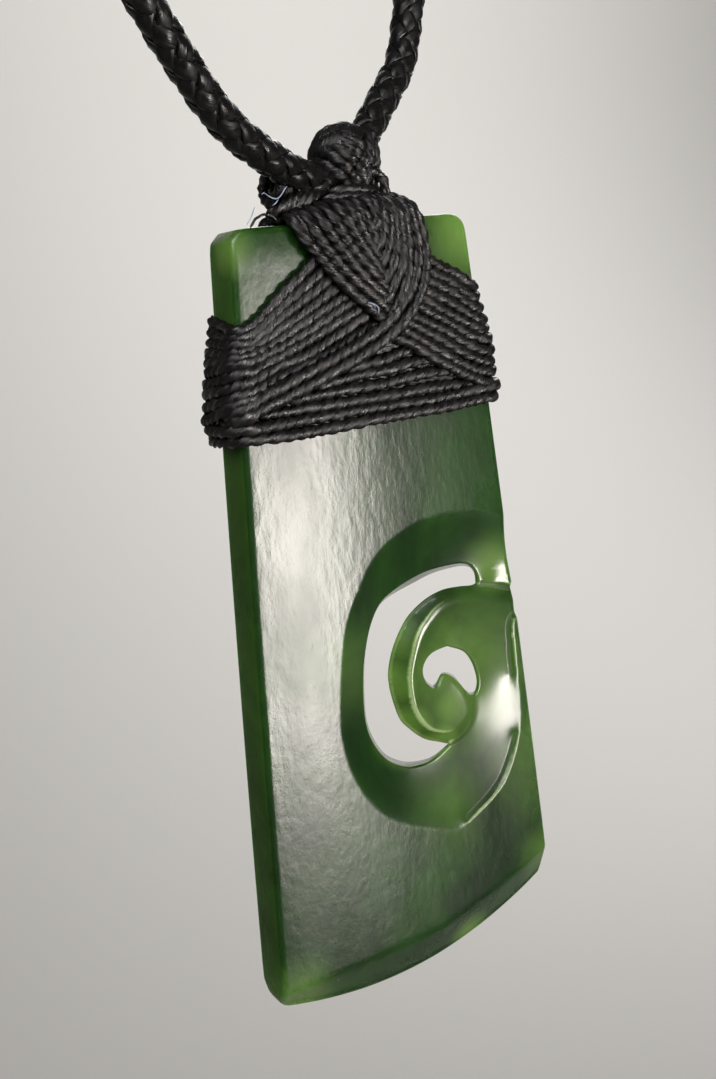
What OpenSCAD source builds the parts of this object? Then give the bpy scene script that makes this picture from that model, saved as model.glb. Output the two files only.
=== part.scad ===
// A greenstone adze pendant: a flat bevelled blade of nephrite, pierced by a
// spiral, lashed at its top with waxed thread and hung on a plaited neck cord.
// The front face looks along -Y. The origin is where the cord hangs, on the
// underside of the top of its loop.

/* [Blade] */
// Width of the blade across its top edge
blade_top_w = 22.7; // [20:0.1:26]
// Width of the blade where the cutting edge begins
blade_low_w = 30.2; // [27:0.1:33]
// Length from the top edge to the corners of the cutting edge
blade_len = 65; // [60:0.5:72]
// Thickness in the middle of the faces
blade_mid_t = 5.4; // [4.8:0.1:6]
// Thickness at the two long sides
blade_side_t = 4.2; // [3.6:0.1:4.6]
// Rounding of the long edges
blade_edge_r = 0.6; // [0.4:0.1:1]
// How far the long sides bow outwards, half way down
side_bow = 0.2; // [0:0.05:0.6]
// Rounding of the two top corners
top_corner_r = 1.4; // [0.8:0.1:2]
// How far the cutting edge bows downwards
edge_bow = 3.2; // [2:0.1:4]
// How much lower the left end of the cutting edge is than the right
edge_slant = 2.5; // [0:0.1:4]
// Height of the bevel at the middle of the cutting edge
bevel_h = 3.6; // [2:0.1:5]

/* [Spiral] */
// Depth of the ground round the spiral, on each face
recess_depth = 1.1; // [0.6:0.1:1.4]
// Radius of the raised rim of the spiral
rim_r = 0.9; // [0.6:0.05:1]

/* [Lashing] */
// Thickness of one layer of waxed thread
thread_t = 1; // [0.8:0.05:1.1]
// Gap between neighbouring solids
gap = 0.1; // [0.05:0.01:0.15]
// Height of the lower edge of the lashing below the top of the blade
lashing_low = 16.5; // [15:0.1:18]
// Height of the upper edge of the plain wraps on the back
back_high = 6; // [5:0.1:7]

/* [Knot] */
// Widest radius of the knot
knot_r = 2.6; // [2.4:0.05:2.8]
// Thickness of the wraps round the knot's waist
knot_wrap_t = 1.4; // [1:0.1:1.6]
// Tilt of the wraps round the knot's waist
knot_tilt = 24; // [0:1:30]

/* [Neck cord] */
// Diameter of the plaited cord
cord_d = 2.8; // [2.4:0.1:3]
// Height from the top of the blade to where the cord hangs
drop = 270; // [268:1:272]
// Turn of the loop about the vertical, away from the blade's own plane
loop_turn = 20; // [0:1:30]

/* [Hidden] */

stone_green = "#3f7a3a";
thread_black = "#241f20";
cord_black = "#2b2627";

crown = (blade_mid_t - blade_side_t) / 2;   // rise of each face above its sides
top_layer = 2 * (thread_t + gap);           // outside of the second layer of thread
level_h = 2;                                // height of the wraps that go all the way round
level_count = 9;                            // sections down the blade
face_steps = 8;                             // facets across a face
corner_steps = 3;                           // facets round a long edge
reach = 60;                                 // longer than any cutter needs to be
clear = 8;                                  // past the blade's faces and sides

// Outline of the ground round the spiral: x and z at the face, then at its floor
koru_ground = [
    [16.0, -32.3, 16.0, -33.4],
    [9.4, -32.2, 9.6, -33.2],
    [8.2, -29.6, 7.6, -31.4],
    [5.6, -27.6, 5.4, -30.0],
    [3.0, -26.9, 3.3, -29.7],
    [0.6, -27.2, 1.2, -30.3],
    [-1.4, -28.6, -0.5, -31.5],
    [-3.6, -30.6, -2.0, -33.3],
    [-4.9, -33.2, -3.0, -35.4],
    [-5.9, -36.4, -3.8, -37.8],
    [-6.4, -40.2, -4.1, -40.6],
    [-6.4, -44.2, -4.1, -43.6],
    [-5.5, -47.7, -3.5, -46.3],
    [-3.9, -50.2, -2.2, -48.4],
    [-1.5, -52.5, -0.4, -50.2],
    [1.3, -54.3, 1.9, -51.6],
    [4.3, -55.2, 4.2, -52.4],
    [7.0, -54.4, 6.3, -52.0],
    [9.4, -52.6, 8.2, -50.5],
    [11.4, -49.8, 9.8, -48.3],
    [12.7, -46.8, 10.9, -46.0],
    [13.1, -43.6, 11.3, -43.4],
    [13.1, -40.6, 11.3, -40.6],
    [12.9, -38.2, 11.6, -38.4],
    [16.0, -36.4, 16.0, -37.2]];

// Outline of the pierced crescent, x and z
koru_slot = [[9.0, -31.0], [7.0, -30.7], [3.6, -30.9], [0.6, -31.9], [-1.5, -33.7], [-2.8, -36.4],
    [-3.4, -39.5], [-3.5, -42.6], [-2.9, -45.2], [-1.5, -47.2], [0.7, -48.3], [3.0, -48.2],
    [4.9, -47.3], [2.8, -46.4], [1.3, -45.1], [0.3, -43.4], [-0.3, -41.0], [-0.2, -38.6],
    [0.6, -36.7], [2.0, -34.9], [3.7, -33.7], [5.6, -33.1], [7.6, -32.9], [9.1, -32.9], [9.9, -31.9]];

// Outline of the pierced eye, x and z
koru_eye = [[5.6, -38.2], [4.2, -38.2], [3.1, -38.7], [2.7, -39.6], [2.9, -40.7], [3.7, -41.4],
    [4.8, -40.5], [5.9, -40.9], [6.8, -42.0], [7.9, -43.0], [8.3, -42.0], [8.0, -40.5],
    [7.2, -39.1], [6.5, -38.5]];

// Crest of the spiral's raised rim, x and z, from the blade's side to its end
koru_crest = [[13.2, -36.2], [11.4, -35.2], [9.9, -34.6], [8.4, -34.1], [6.8, -33.9], [5.2, -34.0],
    [3.9, -34.7], [2.7, -35.9], [1.8, -37.2], [1.3, -38.7], [1.2, -40.4], [1.4, -42.3],
    [2.2, -43.9], [3.5, -45.0], [5.0, -45.3], [6.2, -44.7], [6.7, -43.5]];

// Front outlines of the lashing's bands, x and z
left_band = [[-20, -6.3], [-12.6, -6.4], [-10.8, -6.9], [-5.2, -2.4], [1.9, -8.6],
    [0.2, -9.2], [-4.4, -11.2], [-8.4, -12.6], [-12, -14.2], [-20, -14.4]];
right_band = [[7.2, -3.6], [11.4, -5.4], [20, -6], [20, -14.4], [12, -14.5], [4.2, -9.9], [6.5, -6.6]];
centre_front = [[-6.2, 4], [-6.2, 0.6], [-4.4, -2.2], [-1.6, -5.2], [1.7, -8.7], [4.2, -6.9],
    [5.6, -4.6], [6.0, -1.6], [5.4, 1.0], [3.6, 4]];
level_front = [[-11, -14.9], [-8.4, -13.1], [-4.4, -11.7], [-0.6, -10.2], [3.4, -9.9],
    [4.1, -10.2], [12, -14.9]];
strand_route = [[6.5, -0.6], [6.3, -3.4], [5.9, -5.8], [4.7, -7.5], [2.7, -8.9], [-0.9, -10.6],
    [-4.4, -12.0], [-8.1, -13.3], [-11.4, -14.8]];

// The knot's levels: height above the blade, sideways place, and share of its widest radius
knot_levels = [[2.3, 0.8, 0.6], [2.6, 0.8, 0.86], [3.2, 0.8, 0.98], [4.2, 0.7, 1], [5.2, 0.4, 1],
    [6.1, 0.2, 0.9], [6.9, 0.1, 0.7], [7.4, 0.1, 0.46], [7.7, 0.1, 0.2]];

// Route of the neck cord in the plane of its loop: sideways, and height above the blade
cord_route = [[-1.6, 3.0], [-4.9, 3.8], [-8.7, 5.4], [-11.6, 7.0], [-13.7, 8.8], [-15.6, 11.0],
    [-17.8, 13.8], [-20.5, 18], [-24.5, 26], [-30, 39], [-36.5, 57], [-43, 80], [-49.5, 105],
    [-55.5, 132], [-60.5, 160], [-64, 188], [-64.5, 212], [-58.5, 236], [-45, 256], [-25, 268],
    [0, 271.4], [25, 268], [45, 256], [58.5, 236], [64.5, 212], [64, 188], [60, 160],
    [53.5, 132], [46, 105], [38, 80], [29.5, 57], [22, 39], [16.5, 28], [13.5, 21],
    [11.9, 16.4], [10.4, 13.2], [7.9, 10.6], [5.9, 8.6], [3.9, 6.6], [2.2, 4.8]];

// Half the blade's width at height z, which is 0 at its top edge
function half_w(z) = let (s = -z / blade_len)
    (blade_top_w + (blade_low_w - blade_top_w) * s) / 2 + 4 * side_bow * s * (1 - s);
// How far a face stands from the middle plane, x away from the centre line
function face_y(x, z) = blade_side_t / 2 + crown * (1 - pow(x / half_w(z), 2));
// Height of the cutting edge at x
function edge_z(x) = let (u = x / (blade_low_w / 2))
    -blade_len - edge_bow * (1 - u * u) + edge_slant / 2 * u;
// One level section of the blade, grown outwards by an even amount
function section(z, grow) = let (
        r = blade_edge_r + grow,
        x = half_w(z) - blade_edge_r,
        y = face_y(x, z) - blade_edge_r,
        face = [for (i = [0 : face_steps]) x * (2 * i / face_steps - 1)],
        turn = [for (i = [0 : corner_steps]) 90 * i / corner_steps])
    concat(
        [for (u = face) [u, -face_y(u, z) - grow, z]],
        [for (a = turn) if (a > 0) [x + r * sin(a), -y - r * cos(a), z]],
        [for (a = turn) [x + r * cos(a), y + r * sin(a), z]],
        [for (u = face) if (u < x) [-u, face_y(u, z) + grow, z]],
        [for (a = turn) if (a > 0) [-x - r * sin(a), y + r * cos(a), z]],
        [for (a = turn) if (a < 90) [-x - r * cos(a), -y - r * sin(a), z]]);
// A smooth curve through the points of a list, open or closed
function spline_point(a, b, c, d, t) =
    (2 * b + (c - a) * t + (2 * a - 5 * b + 4 * c - d) * t * t + (3 * b - a - 3 * c + d) * t * t * t) / 2;
function smooth_loop(p, parts) = let (n = len(p))
    [for (i = [0 : n - 1], k = [0 : parts - 1])
        spline_point(p[(i + n - 1) % n], p[i], p[(i + 1) % n], p[(i + 2) % n], k / parts)];
function smooth_path(p, parts) = let (n = len(p), first = 2 * p[0] - p[1], last = 2 * p[n - 1] - p[n - 2])
    concat([for (i = [0 : n - 2], k = [0 : parts - 1])
        spline_point(i == 0 ? first : p[i - 1], p[i], p[i + 1], i == n - 2 ? last : p[i + 2], k / parts)],
        [p[n - 1]]);
function unit(v) = v / norm(v);
// Places the cord's route in space, in the turned plane of its loop
function in_loop(p) = [p[0] * cos(loop_turn), p[0] * sin(loop_turn), p[1]];
loop_normal = [-sin(loop_turn), cos(loop_turn), 0];

// A closed solid between rings of equal length, given from the first end to the last
module loft(rings) {
    n = len(rings[0]);
    last = len(rings) - 1;
    polyhedron(
        points = [for (r = rings, p = r) p],
        faces = concat(
            [[for (i = [0 : n - 1]) i]],
            [[for (i = [n - 1 : -1 : 0]) last * n + i]],
            [for (k = [0 : last - 1], i = [0 : n - 1]) let (j = (i + 1) % n)
                [k * n + i, (k + 1) * n + i, (k + 1) * n + j, k * n + j]]));
}

// A round bar along a flat path, whose plane has the given normal
module sweep(path, radius, sides, normal) {
    n = len(path);
    loft([for (k = [0 : n - 1]) let (
            along = unit(path[min(k + 1, n - 1)] - path[max(k - 1, 0)]),
            across = cross(normal, along))
        [for (i = [0 : sides - 1]) let (a = 360 * (i + 0.5) / sides)
            path[k] + radius * (cos(a) * across + sin(a) * cross(along, across))]]);
}

// A flat outline in x and z, cut right through along Y between two depths
module through(outline, y_from = -clear, y_to = clear)
    translate([0, y_to, 0]) rotate([90, 0, 0]) linear_extrude(y_to - y_from) polygon(outline);

// The lashed length of the blade, grown by an even amount on all sides and at its top
module grown_top(grow)
    loft([for (z = [-lashing_low - 4, -lashing_low / 2, grow]) section(z, grow)]);

// A layer of thread between two distances from the stone
module sleeve(from, to) difference() {
    grown_top(to);
    grown_top(from);
}

// Plan of the blade, with its rounded top corners and its bowed cutting edge
module plan() {
    corner = top_corner_r;
    top_x = blade_top_w / 2 - corner;
    corner_arc = [for (a = [0 : 15 : 90]) corner * [cos(a), sin(a) - 1]];
    edge_x = [for (u = [-15 : 1 : 15]) u];
    through(concat(
        [for (p = corner_arc) [top_x + p[0], p[1]]],
        [for (i = [len(corner_arc) - 1 : -1 : 0]) [-top_x - corner_arc[i][0], corner_arc[i][1]]],
        [[-reach / 2, -corner - 12], [-reach / 2, -blade_len - edge_slant / 2]],
        [for (x = edge_x) [x, edge_z(x)]],
        [[reach / 2, -blade_len + edge_slant / 2], [reach / 2, -corner - 12]]));
}

// The wedge that is ground off one face above the cutting edge
module bevel() {
    rise = atan2(edge_slant, blade_low_w);
    steepness = atan2(blade_mid_t / 2 - 0.3, bevel_h);
    translate([0, 0, -blade_len - edge_bow]) rotate([0, -rise, 0])
        translate([0, -0.3, 0]) rotate([steepness, 0, 0])
            translate([-reach / 2, -clear, -clear]) cube([reach, clear, 2 * clear]);
}

// The ground sunk round the spiral on one face
module koru_recess() {
    outline = smooth_loop(koru_ground, 2);
    above = 1;
    floor_y = blade_mid_t / 2 - recess_depth;
    spread = 1 + above / recess_depth;
    loft([
        [for (p = outline) [p[2], -floor_y, p[3]]],
        [for (p = outline) let (x = p[2] + (p[0] - p[2]) * spread, z = p[3] + (p[1] - p[3]) * spread)
            [x, -floor_y - recess_depth - above, z]]]);
}

// The raised rim of the spiral on one face
module koru_rim() {
    crest = [for (p = smooth_path(koru_crest, 2)) [p[0], -blade_mid_t / 2 + recess_depth, p[1]]];
    sweep(crest, rim_r, 6, [0, 1, 0]);
}

// The carved shape kept as one mesh of triangles, at its own size
module one_mesh() resize([0, 0, 0]) children();

module greenstone_blade() color(stone_green) one_mesh() difference() {
    intersection() {
        union() {
            difference() {
                loft([for (i = [0 : level_count - 1])
                    section(-(blade_len + edge_bow + 1) * (1 - i / (level_count - 1)), 0)]);
                koru_recess();
                mirror([0, 1, 0]) koru_recess();
            }
            koru_rim();
            mirror([0, 1, 0]) koru_rim();
        }
        plan();
    }
    bevel();
    mirror([0, 1, 0]) bevel();
    through(smooth_loop(koru_slot, 2));
    through(smooth_loop(koru_eye, 2));
}

// Level wraps round the foot of the lashing, which rise under the crossing strand in front
module lower_wraps() color(thread_black) intersection() {
    sleeve(gap, gap + thread_t);
    union() {
        translate([-reach / 2, -clear, -lashing_low]) cube([reach, 2 * clear, level_h]);
        through(level_front, y_to = 0);
    }
}

// Strands that fan from the left side of the blade up to its middle
module left_diagonal_band() color(thread_black) intersection() {
    sleeve(gap, gap + thread_t);
    through(left_band, y_to = blade_side_t / 2);
}

// Strands that fall from the middle to the right side of the blade
module right_diagonal_band() color(thread_black) intersection() {
    sleeve(gap, gap + thread_t);
    through(right_band, y_to = blade_side_t / 2);
}

// Plain level wraps across the back, between the two diagonal bands
module back_band() color(thread_black) intersection() {
    sleeve(gap, gap + thread_t);
    translate([-reach / 2, blade_side_t / 2 + gap, -lashing_low + level_h + gap])
        cube([reach, clear, lashing_low - back_high - level_h - gap]);
}

// The chevron of strands that passes over the top edge of the blade
module centre_band() color(thread_black) difference() {
    intersection() {
        sleeve(gap + thread_t + gap, top_layer);
        through(centre_front);
    }
    cord_sockets();
}

// The long strand that crosses the lashing from right to lower left
module crossing_strand() color(thread_black) {
    y = face_y(0, 0) + 1.5 * thread_t + 2 * gap;
    path = [for (p = smooth_path(strand_route, 2))
        [p[0], -y + crown * pow(p[0] / half_w(p[1]), 2), p[1]]];
    sweep(path, thread_t / 2, 6, [0, 1, 0]);
}

// The room that the cord's two ends take up inside the knot and in the band below it
module cord_sockets() {
    socket_r = cord_d / 2 + gap;
    last = len(cord_route) - 1;
    sweep([for (i = [0 : 2]) in_loop(cord_route[i])], socket_r, 8, loop_normal);
    sweep([for (i = [last - 2 : last]) in_loop(cord_route[i])], socket_r, 8, loop_normal);
}

// The plane of the wraps round the knot's waist
module at_waist() translate([0.6, 0, 3.9]) rotate([0, knot_tilt, 0]) children();

// The ring that the waist wraps fill, grown by an even amount
module waist_ring(grow) at_waist() rotate_extrude($fn = 36)
    translate([knot_r - knot_wrap_t / 4, 0]) circle(r = knot_wrap_t / 2 + grow, $fn = 24);

module top_knot() color(thread_black) difference() {
    loft([for (level = knot_levels) [for (i = [0 : 15])
        [level[1] + knot_r * level[2] * cos(22.5 * i), knot_r * level[2] * sin(22.5 * i), level[0]]]]);
    waist_ring(gap);
    cord_sockets();
}

module knot_wraps() color(thread_black) difference() {
    waist_ring(0);
    cord_sockets();
}

module neck_cord() color(cord_black)
    sweep([for (p = smooth_path(cord_route, 2)) in_loop(p)], cord_d / 2, 8, loop_normal);

// Hangs the blade's own heights below the origin
module hung() translate([0, 0, -drop]) children();

hung() greenstone_blade();
hung() lower_wraps();
hung() left_diagonal_band();
hung() right_diagonal_band();
hung() back_band();
hung() centre_band();
hung() crossing_strand();
hung() top_knot();
hung() knot_wraps();
hung() neck_cord();
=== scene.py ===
import math
from types import SimpleNamespace

import bpy
import numpy as np
from mathutils import Matrix


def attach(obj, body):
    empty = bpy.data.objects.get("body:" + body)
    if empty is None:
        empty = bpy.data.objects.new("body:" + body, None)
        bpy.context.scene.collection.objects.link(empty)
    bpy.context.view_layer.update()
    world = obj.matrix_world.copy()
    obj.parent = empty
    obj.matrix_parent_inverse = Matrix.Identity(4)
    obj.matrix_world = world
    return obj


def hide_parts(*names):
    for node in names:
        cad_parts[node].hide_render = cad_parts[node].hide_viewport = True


bl_info = {
    "name": "Greenstone adze pendant",
    "version": (1, 0, 0),
    "blender": (4, 5, 0),
    "location": "3D View > Sidebar > Pendant",
    "description": "Carved nephrite blade, its thread lashing and its plaited neck cord",
    "category": "Add Mesh",
}

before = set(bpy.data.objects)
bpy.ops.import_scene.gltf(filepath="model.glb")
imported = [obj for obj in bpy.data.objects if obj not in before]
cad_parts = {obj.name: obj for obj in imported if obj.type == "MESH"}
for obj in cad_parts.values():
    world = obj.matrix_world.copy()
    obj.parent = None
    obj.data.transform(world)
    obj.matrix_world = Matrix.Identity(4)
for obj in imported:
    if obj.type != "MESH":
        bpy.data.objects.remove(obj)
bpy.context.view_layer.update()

# All shapes are worked out in millimetres in the blade's own frame: x to the right, y to the back, z
# up, with z 0 at the blade's top edge. The blade hangs DROP below the top of the cord's loop.
DROP = 270.0
LOOP_TURN = math.radians(20)  # how far the cord's loop is turned against the blade's face

# Strands of thread and plait
SEED = 7  # start of the random draws that put each strand a little off its place
STRAY = 0.07  # how far off, in millimetres
PARTS = 10  # parts that a strand's way is cut into between two guide points
PLY_GROOVE, PRESSED = 0.3, 0.76  # depth of the groove between plies and height of a strand, as shares
UNTWISTED = 1000.0  # one turn in a metre, for strands that lie flat
FREE_STEP = 0.25  # spacing of the rings of a loose strand
FREE_FACING = (0.3, -1, 0.2)  # its own up
FIBRE_APART = 40.0  # how far apart the fibre patterns of two strands start

# Carved lines on the face: x, z and depth below the face
GROUND_EDGE = [(15.5, -28.2, 0), (13.9, -27.8, 0), (12.3, -27, 0), (10.6, -26.2, 0), (9, -25.8, 0),
    (7, -25.5, 0), (4.8, -25.6, 0), (2.9, -25.8, 0), (1.2, -26.4, 0), (-0.4, -27.1, 0), (-1.7, -28.1, 0),
    (-2.6, -29.1, 0), (-3.4, -30.4, 0), (-4.6, -32.3, 0), (-5.5, -34.8, 0), (-6.1, -37.9, 0),
    (-6.6, -41.4, 0), (-6.6, -43.7, 0), (-6.3, -45.6, 0), (-5.7, -47.6, 0), (-4.7, -49.6, 0),
    (-3.4, -51.3, 0), (-1.9, -52.5, 0), (0.1, -53.6, 0), (2.3, -54.5, 0), (4.2, -55.2, 0),
    (5.6, -54.8, 0), (7.2, -54.1, 0), (8.7, -53.4, 0), (10.2, -52.3, 0), (11.5, -50.4, 0),
    (12.5, -48.1, 0), (13, -45.8, 0), (12.9, -43, 0), (12.8, -39.8, 0), (12.8, -38, 0), (13.1, -37, 0.08),
    (13.9, -36.6, 0.2), (15.5, -36.5, 0.2)]
LEDGE_BACK = [(11.3, -31.9, 0.62), (12.1, -32.1, 0.48), (12.9, -32.3, 0.26), (13.8, -32.5, 0.06),
    (15.5, -32.6, 0)]
LEDGE_TOP = [(9.9, -32.6, 0.56), (10.6, -32.8, 0.56), (11.4, -33.1, 0.52), (12.1, -33.3, 0.36),
    (12.9, -33.6, 0.14), (13.8, -34, 0.02), (15.5, -34.4, 0)]
LEDGE_FOOT = [(9.6, -33.1, 0.7), (10.5, -33.3, 0.66), (11.4, -33.6, 0.62), (12.3, -33.9, 0.54),
    (13.3, -34.3, 0.45), (15.5, -34.9, 0.35)]
DISH_UPPER = [(13.3, -36.3, 0.3), (12.75, -36.7, 0.35), (12.45, -37.3, 0.4), (12.4, -38.2, 0.43),
    (12.35, -39.4, 0.46), (12.3, -41, 0.46), (12.3, -42.2, 0.4)]
DISH_LOWER = [(12.05, -48.2, 0.34), (11.15, -50.15, 0.44), (9.95, -51.95, 0.48), (8.55, -53.05, 0.48),
    (7.1, -53.8, 0.44), (5.5, -54.45, 0.36)]
SLOT_OUTER = [(9.4, -31.7, 0.76), (8.7, -31, 0.82), (7, -30.7, 0.98), (3.6, -30.9, 1.25),
    (-0.2, -32.2, 1.35), (-1.8, -34, 1.35), (-2.8, -36.6, 1.35), (-3.3, -39.2, 1.35), (-3.5, -42.6, 1.35),
    (-3, -44.8, 1.35), (-1.9, -46.7, 1.28), (-0.3, -47.9, 1.2), (1.3, -48.3, 1.14), (3, -48.2, 1.1),
    (4.8, -47.4, 1.05)]
SLOT_INNER = [(9.6, -32.7, 0.7), (9.0, -33.0, 0.75), (7.5, -32.8, 0.8), (5.6, -32.75, 0.95),
    (3.8, -33.4, 1.5), (2.1, -34.7, 2), (0.8, -36.5, 2.2), (-0.1, -38.6, 2.25), (-0.3, -40.6, 2.25),
    (0.3, -43.5, 2.25), (1.3, -45, 2.25), (2.8, -46.4, 2.1), (4.4, -47.1, 1.6)]
CREST = [(15.5, -36, 0.12), (14, -35.8, 0.18), (12.85, -35.4, 0.26), (12.1, -34.95, 0.32),
    (10.4, -34.2, 0.42), (8.2, -33.7, 0.47), (6.4, -33.6, 0.49), (5.1, -33.8, 0.5), (4.1, -34.35, 0.5),
    (2.5, -35.75, 0.49), (1.55, -37.6, 0.47), (0.9, -39.8, 0.44), (1.1, -42.5, 0.4), (2.05, -44.4, 0.38),
    (3.2, -45.3, 0.38), (4.8, -45.75, 0.4), (6.3, -45.2, 0.43), (7.05, -44.2, 0.48), (6.7, -42.7, 0.62),
    (5.85, -41.5, 0.82)]
CREST_INNER = [(11.9, -35.3, 0.3), (10.2, -34.6, 0.37), (8.2, -34.15, 0.4), (6.6, -34.05, 0.41),
    (5.4, -34.25, 0.42), (4.4, -34.75, 0.42), (2.9, -36, 0.42), (1.9, -37.75, 0.41), (1.2, -39.85, 0.39),
    (1.35, -42.4, 0.4)]
EYE_LEFT = [(6, -38.2, 0.75), (5.3, -38, 0.78), (3.6, -38.3, 0.82), (2.7, -39.3, 0.85),
    (2.8, -40.5, 0.86), (3.5, -41.4, 0.86), (4, -41.4, 0.86)]
EYE_RIGHT = [(6, -38.25, 0.75), (7.4, -39.0, 0.68), (8.3, -40.4, 0.7), (8.65, -42.1, 0.78),
    (8.4, -43.1, 0.82)]
BULB_EDGE = [(4, -41.4, 0.86), (4.8, -40.5, 0.95), (5.9, -41, 0.95), (6.9, -42.3, 0.8),
    (7.4, -44.1, 0.58), (7.1, -45.5, 0.54), (6.1, -46.45, 0.58), (4.9, -46.95, 0.75)]
BULB_FLOOR = [(3.2, -42.6, 0.6), (3.8, -43.6, 0.56), (5.4, -43.3, 0.62)]
GROOVE = [(4.9, -47.5, 1.06), (6.7, -47.1, 1), (7.9, -45.9, 0.96), (8.3, -44.3, 0.92), (8.4, -43.2, 0.86)]
CARVED_LINES = (GROUND_EDGE, LEDGE_BACK, LEDGE_TOP, LEDGE_FOOT, SLOT_OUTER, SLOT_INNER, DISH_UPPER,
    DISH_LOWER, CREST, CREST_INNER, EYE_LEFT, EYE_RIGHT, BULB_EDGE, BULB_FLOOR, GROOVE)

# Where the carved ground runs out over the blade's right side, what closes the slot between its two
# lines, and what closes the eye between the bulb and its right line
GROUND_CLOSE = (15.5, -32, 0)
SLOT_CLOSE = (4.9, -47.35, 0)
EYE_CLOSE = [(7.3, -42.9, 0), (7.9, -43.3, 0)]
# The carving's lattice: its lowest and highest corner, and the cell and rounds of settling of each pass
CARVED_LOW, CARVED_HIGH = (-7.68, -56.64), (14.72, -24.96)
CARVED_PASSES = ((0.32, 120), (0.16, 80), (0.08, 60))
MOST_AT_ONCE = 2000000  # pairs of points and stretches measured at a time, to save memory
HELD_REACH = 0.72  # share of a cell within which a line holds a lattice point
FLOOR_PULL = 0.04  # even pull on the membrane, which rounds the floor of the dish
OVERSHOOT = 1.9  # how many times the way to the mean each round goes, to settle sooner
SOFTENING = 4  # rounds of averaging that soften the carved lines

# The blade's lattice: its bounds, and the stretches of x and z with finer cells
COLUMNS_LEFT, FINE_X, COLUMNS_RIGHT = -15.8, (-7, 14.2), [14.5, 15, 15.6]
ROWS_FOOT, LOW_Z, FINE_Z, ROWS_HEAD = -70, (-66, -56), (-56, -25.2), 0.5
RING_ANGLES = np.radians([18, 36, 54, 72, 90])  # rings that round each edge over
ROUNDED_MOST = 0.85  # most of the height at an edge that its rounding takes
# Stretches over which the slant of the pierced places fades in, from its outer end. Left of
# SLANT_FULL it has the given share
SLANT_LEFT, SLANT_RIGHT, SLANT_FOOT, SLANT_HEAD = (-8, -4), (13.3, 9.3), (-55, -49), (-26, -30.4)
SLANT_FULL, SLANT_SHARE = (-2, 3), 0.7
TOP_FALL, TOP_REACH = 0.16, 2.8  # how much lower the faces lie at the top edge, and how far down
BEVEL_BLEND = 0.003  # softness of the bend where the bevel starts
LEAST_HEIGHT = 0.22  # least height of a face above the middle plane
# Where the two faces are ground away to the cutting edge, x and z
BEVEL_LINE = [(-15.5, -64.75), (-15, -64.6), (1.8, -64.1), (12.5, -61.4), (15.5, -60.2)]

# Route of the neck cord in the plane of its loop: sideways, and height above the blade
CORD_ROUTE = [(-1.6, 3.0), (-4.9, 3.8), (-8.7, 5.4), (-11.6, 7.0), (-13.7, 8.8), (-15.6, 11.0),
    (-17.8, 13.8), (-20.5, 18), (-24.5, 26), (-30, 39), (-36.5, 57), (-43, 80), (-49.5, 105),
    (-55.5, 132), (-60.5, 160), (-64, 188), (-64.5, 212), (-58.5, 236), (-45, 256), (-25, 268),
    (0, 271.4), (25, 268), (45, 256), (58.5, 236), (64.5, 212), (64, 188), (60, 160), (53.5, 132),
    (46, 105), (38, 80), (29.5, 57), (22, 39), (16.5, 28), (13.5, 21), (11.9, 16.4), (10.4, 13.2),
    (7.9, 10.6), (5.9, 8.6), (3.9, 6.6), (2.2, 4.8)]


def srgb(code):
    """The linear colour of an sRGB hex code."""
    parts = [int(code[i:i + 2], 16) / 255 for i in (1, 3, 5)]
    return tuple(c / 12.92 if c <= 0.04045 else ((c + 0.055) / 1.055) ** 2.4 for c in parts)


def length(name, value, description):
    """A setting that holds a length in metres."""
    return bpy.props.FloatProperty(name=name, description=description, default=value, unit="LENGTH",
        precision=5)


def colour(name, code, description):
    """A setting that holds a colour."""
    return bpy.props.FloatVectorProperty(name=name, description=description, default=srgb(code),
        subtype="COLOR", size=3, min=0, max=1)


def power(name, value, description):
    """A setting that holds a light's power in watts."""
    return bpy.props.FloatProperty(name=name, description=description, default=value, min=0, unit="POWER")


class BladeSizes(bpy.types.PropertyGroup):
    """Sizes of the greenstone blade"""
    top_width: length("Top width", 0.0227, "Width across the top edge")
    low_width: length("Lower width", 0.0302, "Width where the cutting edge begins")
    length: length("Length", 0.065, "From the top edge to the corners of the cutting edge")
    side_bow: length("Side bow", 0.0002, "How far the long sides bow outwards, half way down")
    crown: length("Crown", 0.0006, "Rise of each face above its sides")
    side_thickness: length("Side thickness", 0.0042, "Thickness at the two long sides")
    rim: length("Edge rounding", 0.0006, "Rounding of the outer edges")
    carved_rim: length("Carved rounding", 0.00022, "Rounding of the pierced edges")
    slant: length("Slant", 0.0021, "How far to the right the pierced places come out at the back")
    top_corner: length("Top corners", 0.0014, "Rounding of the two top corners in plan")
    left_corner: length("Left corner", 0.0012, "Rounding of the lower left corner in plan")
    right_corner: length("Right corner", 0.0004, "Rounding of the lower right corner in plan")
    edge_bow: length("Edge bow", 0.0032, "How far the cutting edge bows downwards")
    edge_slant: length("Edge slant", 0.0025, "How much lower the edge is on the left")
    edge_thickness: length("Edge thickness", 0.001, "Thickness left at the cutting edge")
    fine_cell: length("Fine cell", 0.00016, "Grid spacing over the carving")
    low_cell: length("Low cell", 0.00036, "Grid spacing between the carving and the bevel")
    coarse_cell: length("Coarse cell", 0.0005, "Grid spacing elsewhere")


class LashingSizes(bpy.types.PropertyGroup):
    """Sizes of the thread"""
    thread: length("Thread", 0.00112, "Width of the waxed thread, pressed flat")
    twist: length("Twist", 0.0034, "Length of one turn of the thread's plies")
    step: length("Step", 0.00028, "Spacing of the rings of a strand")


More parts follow.
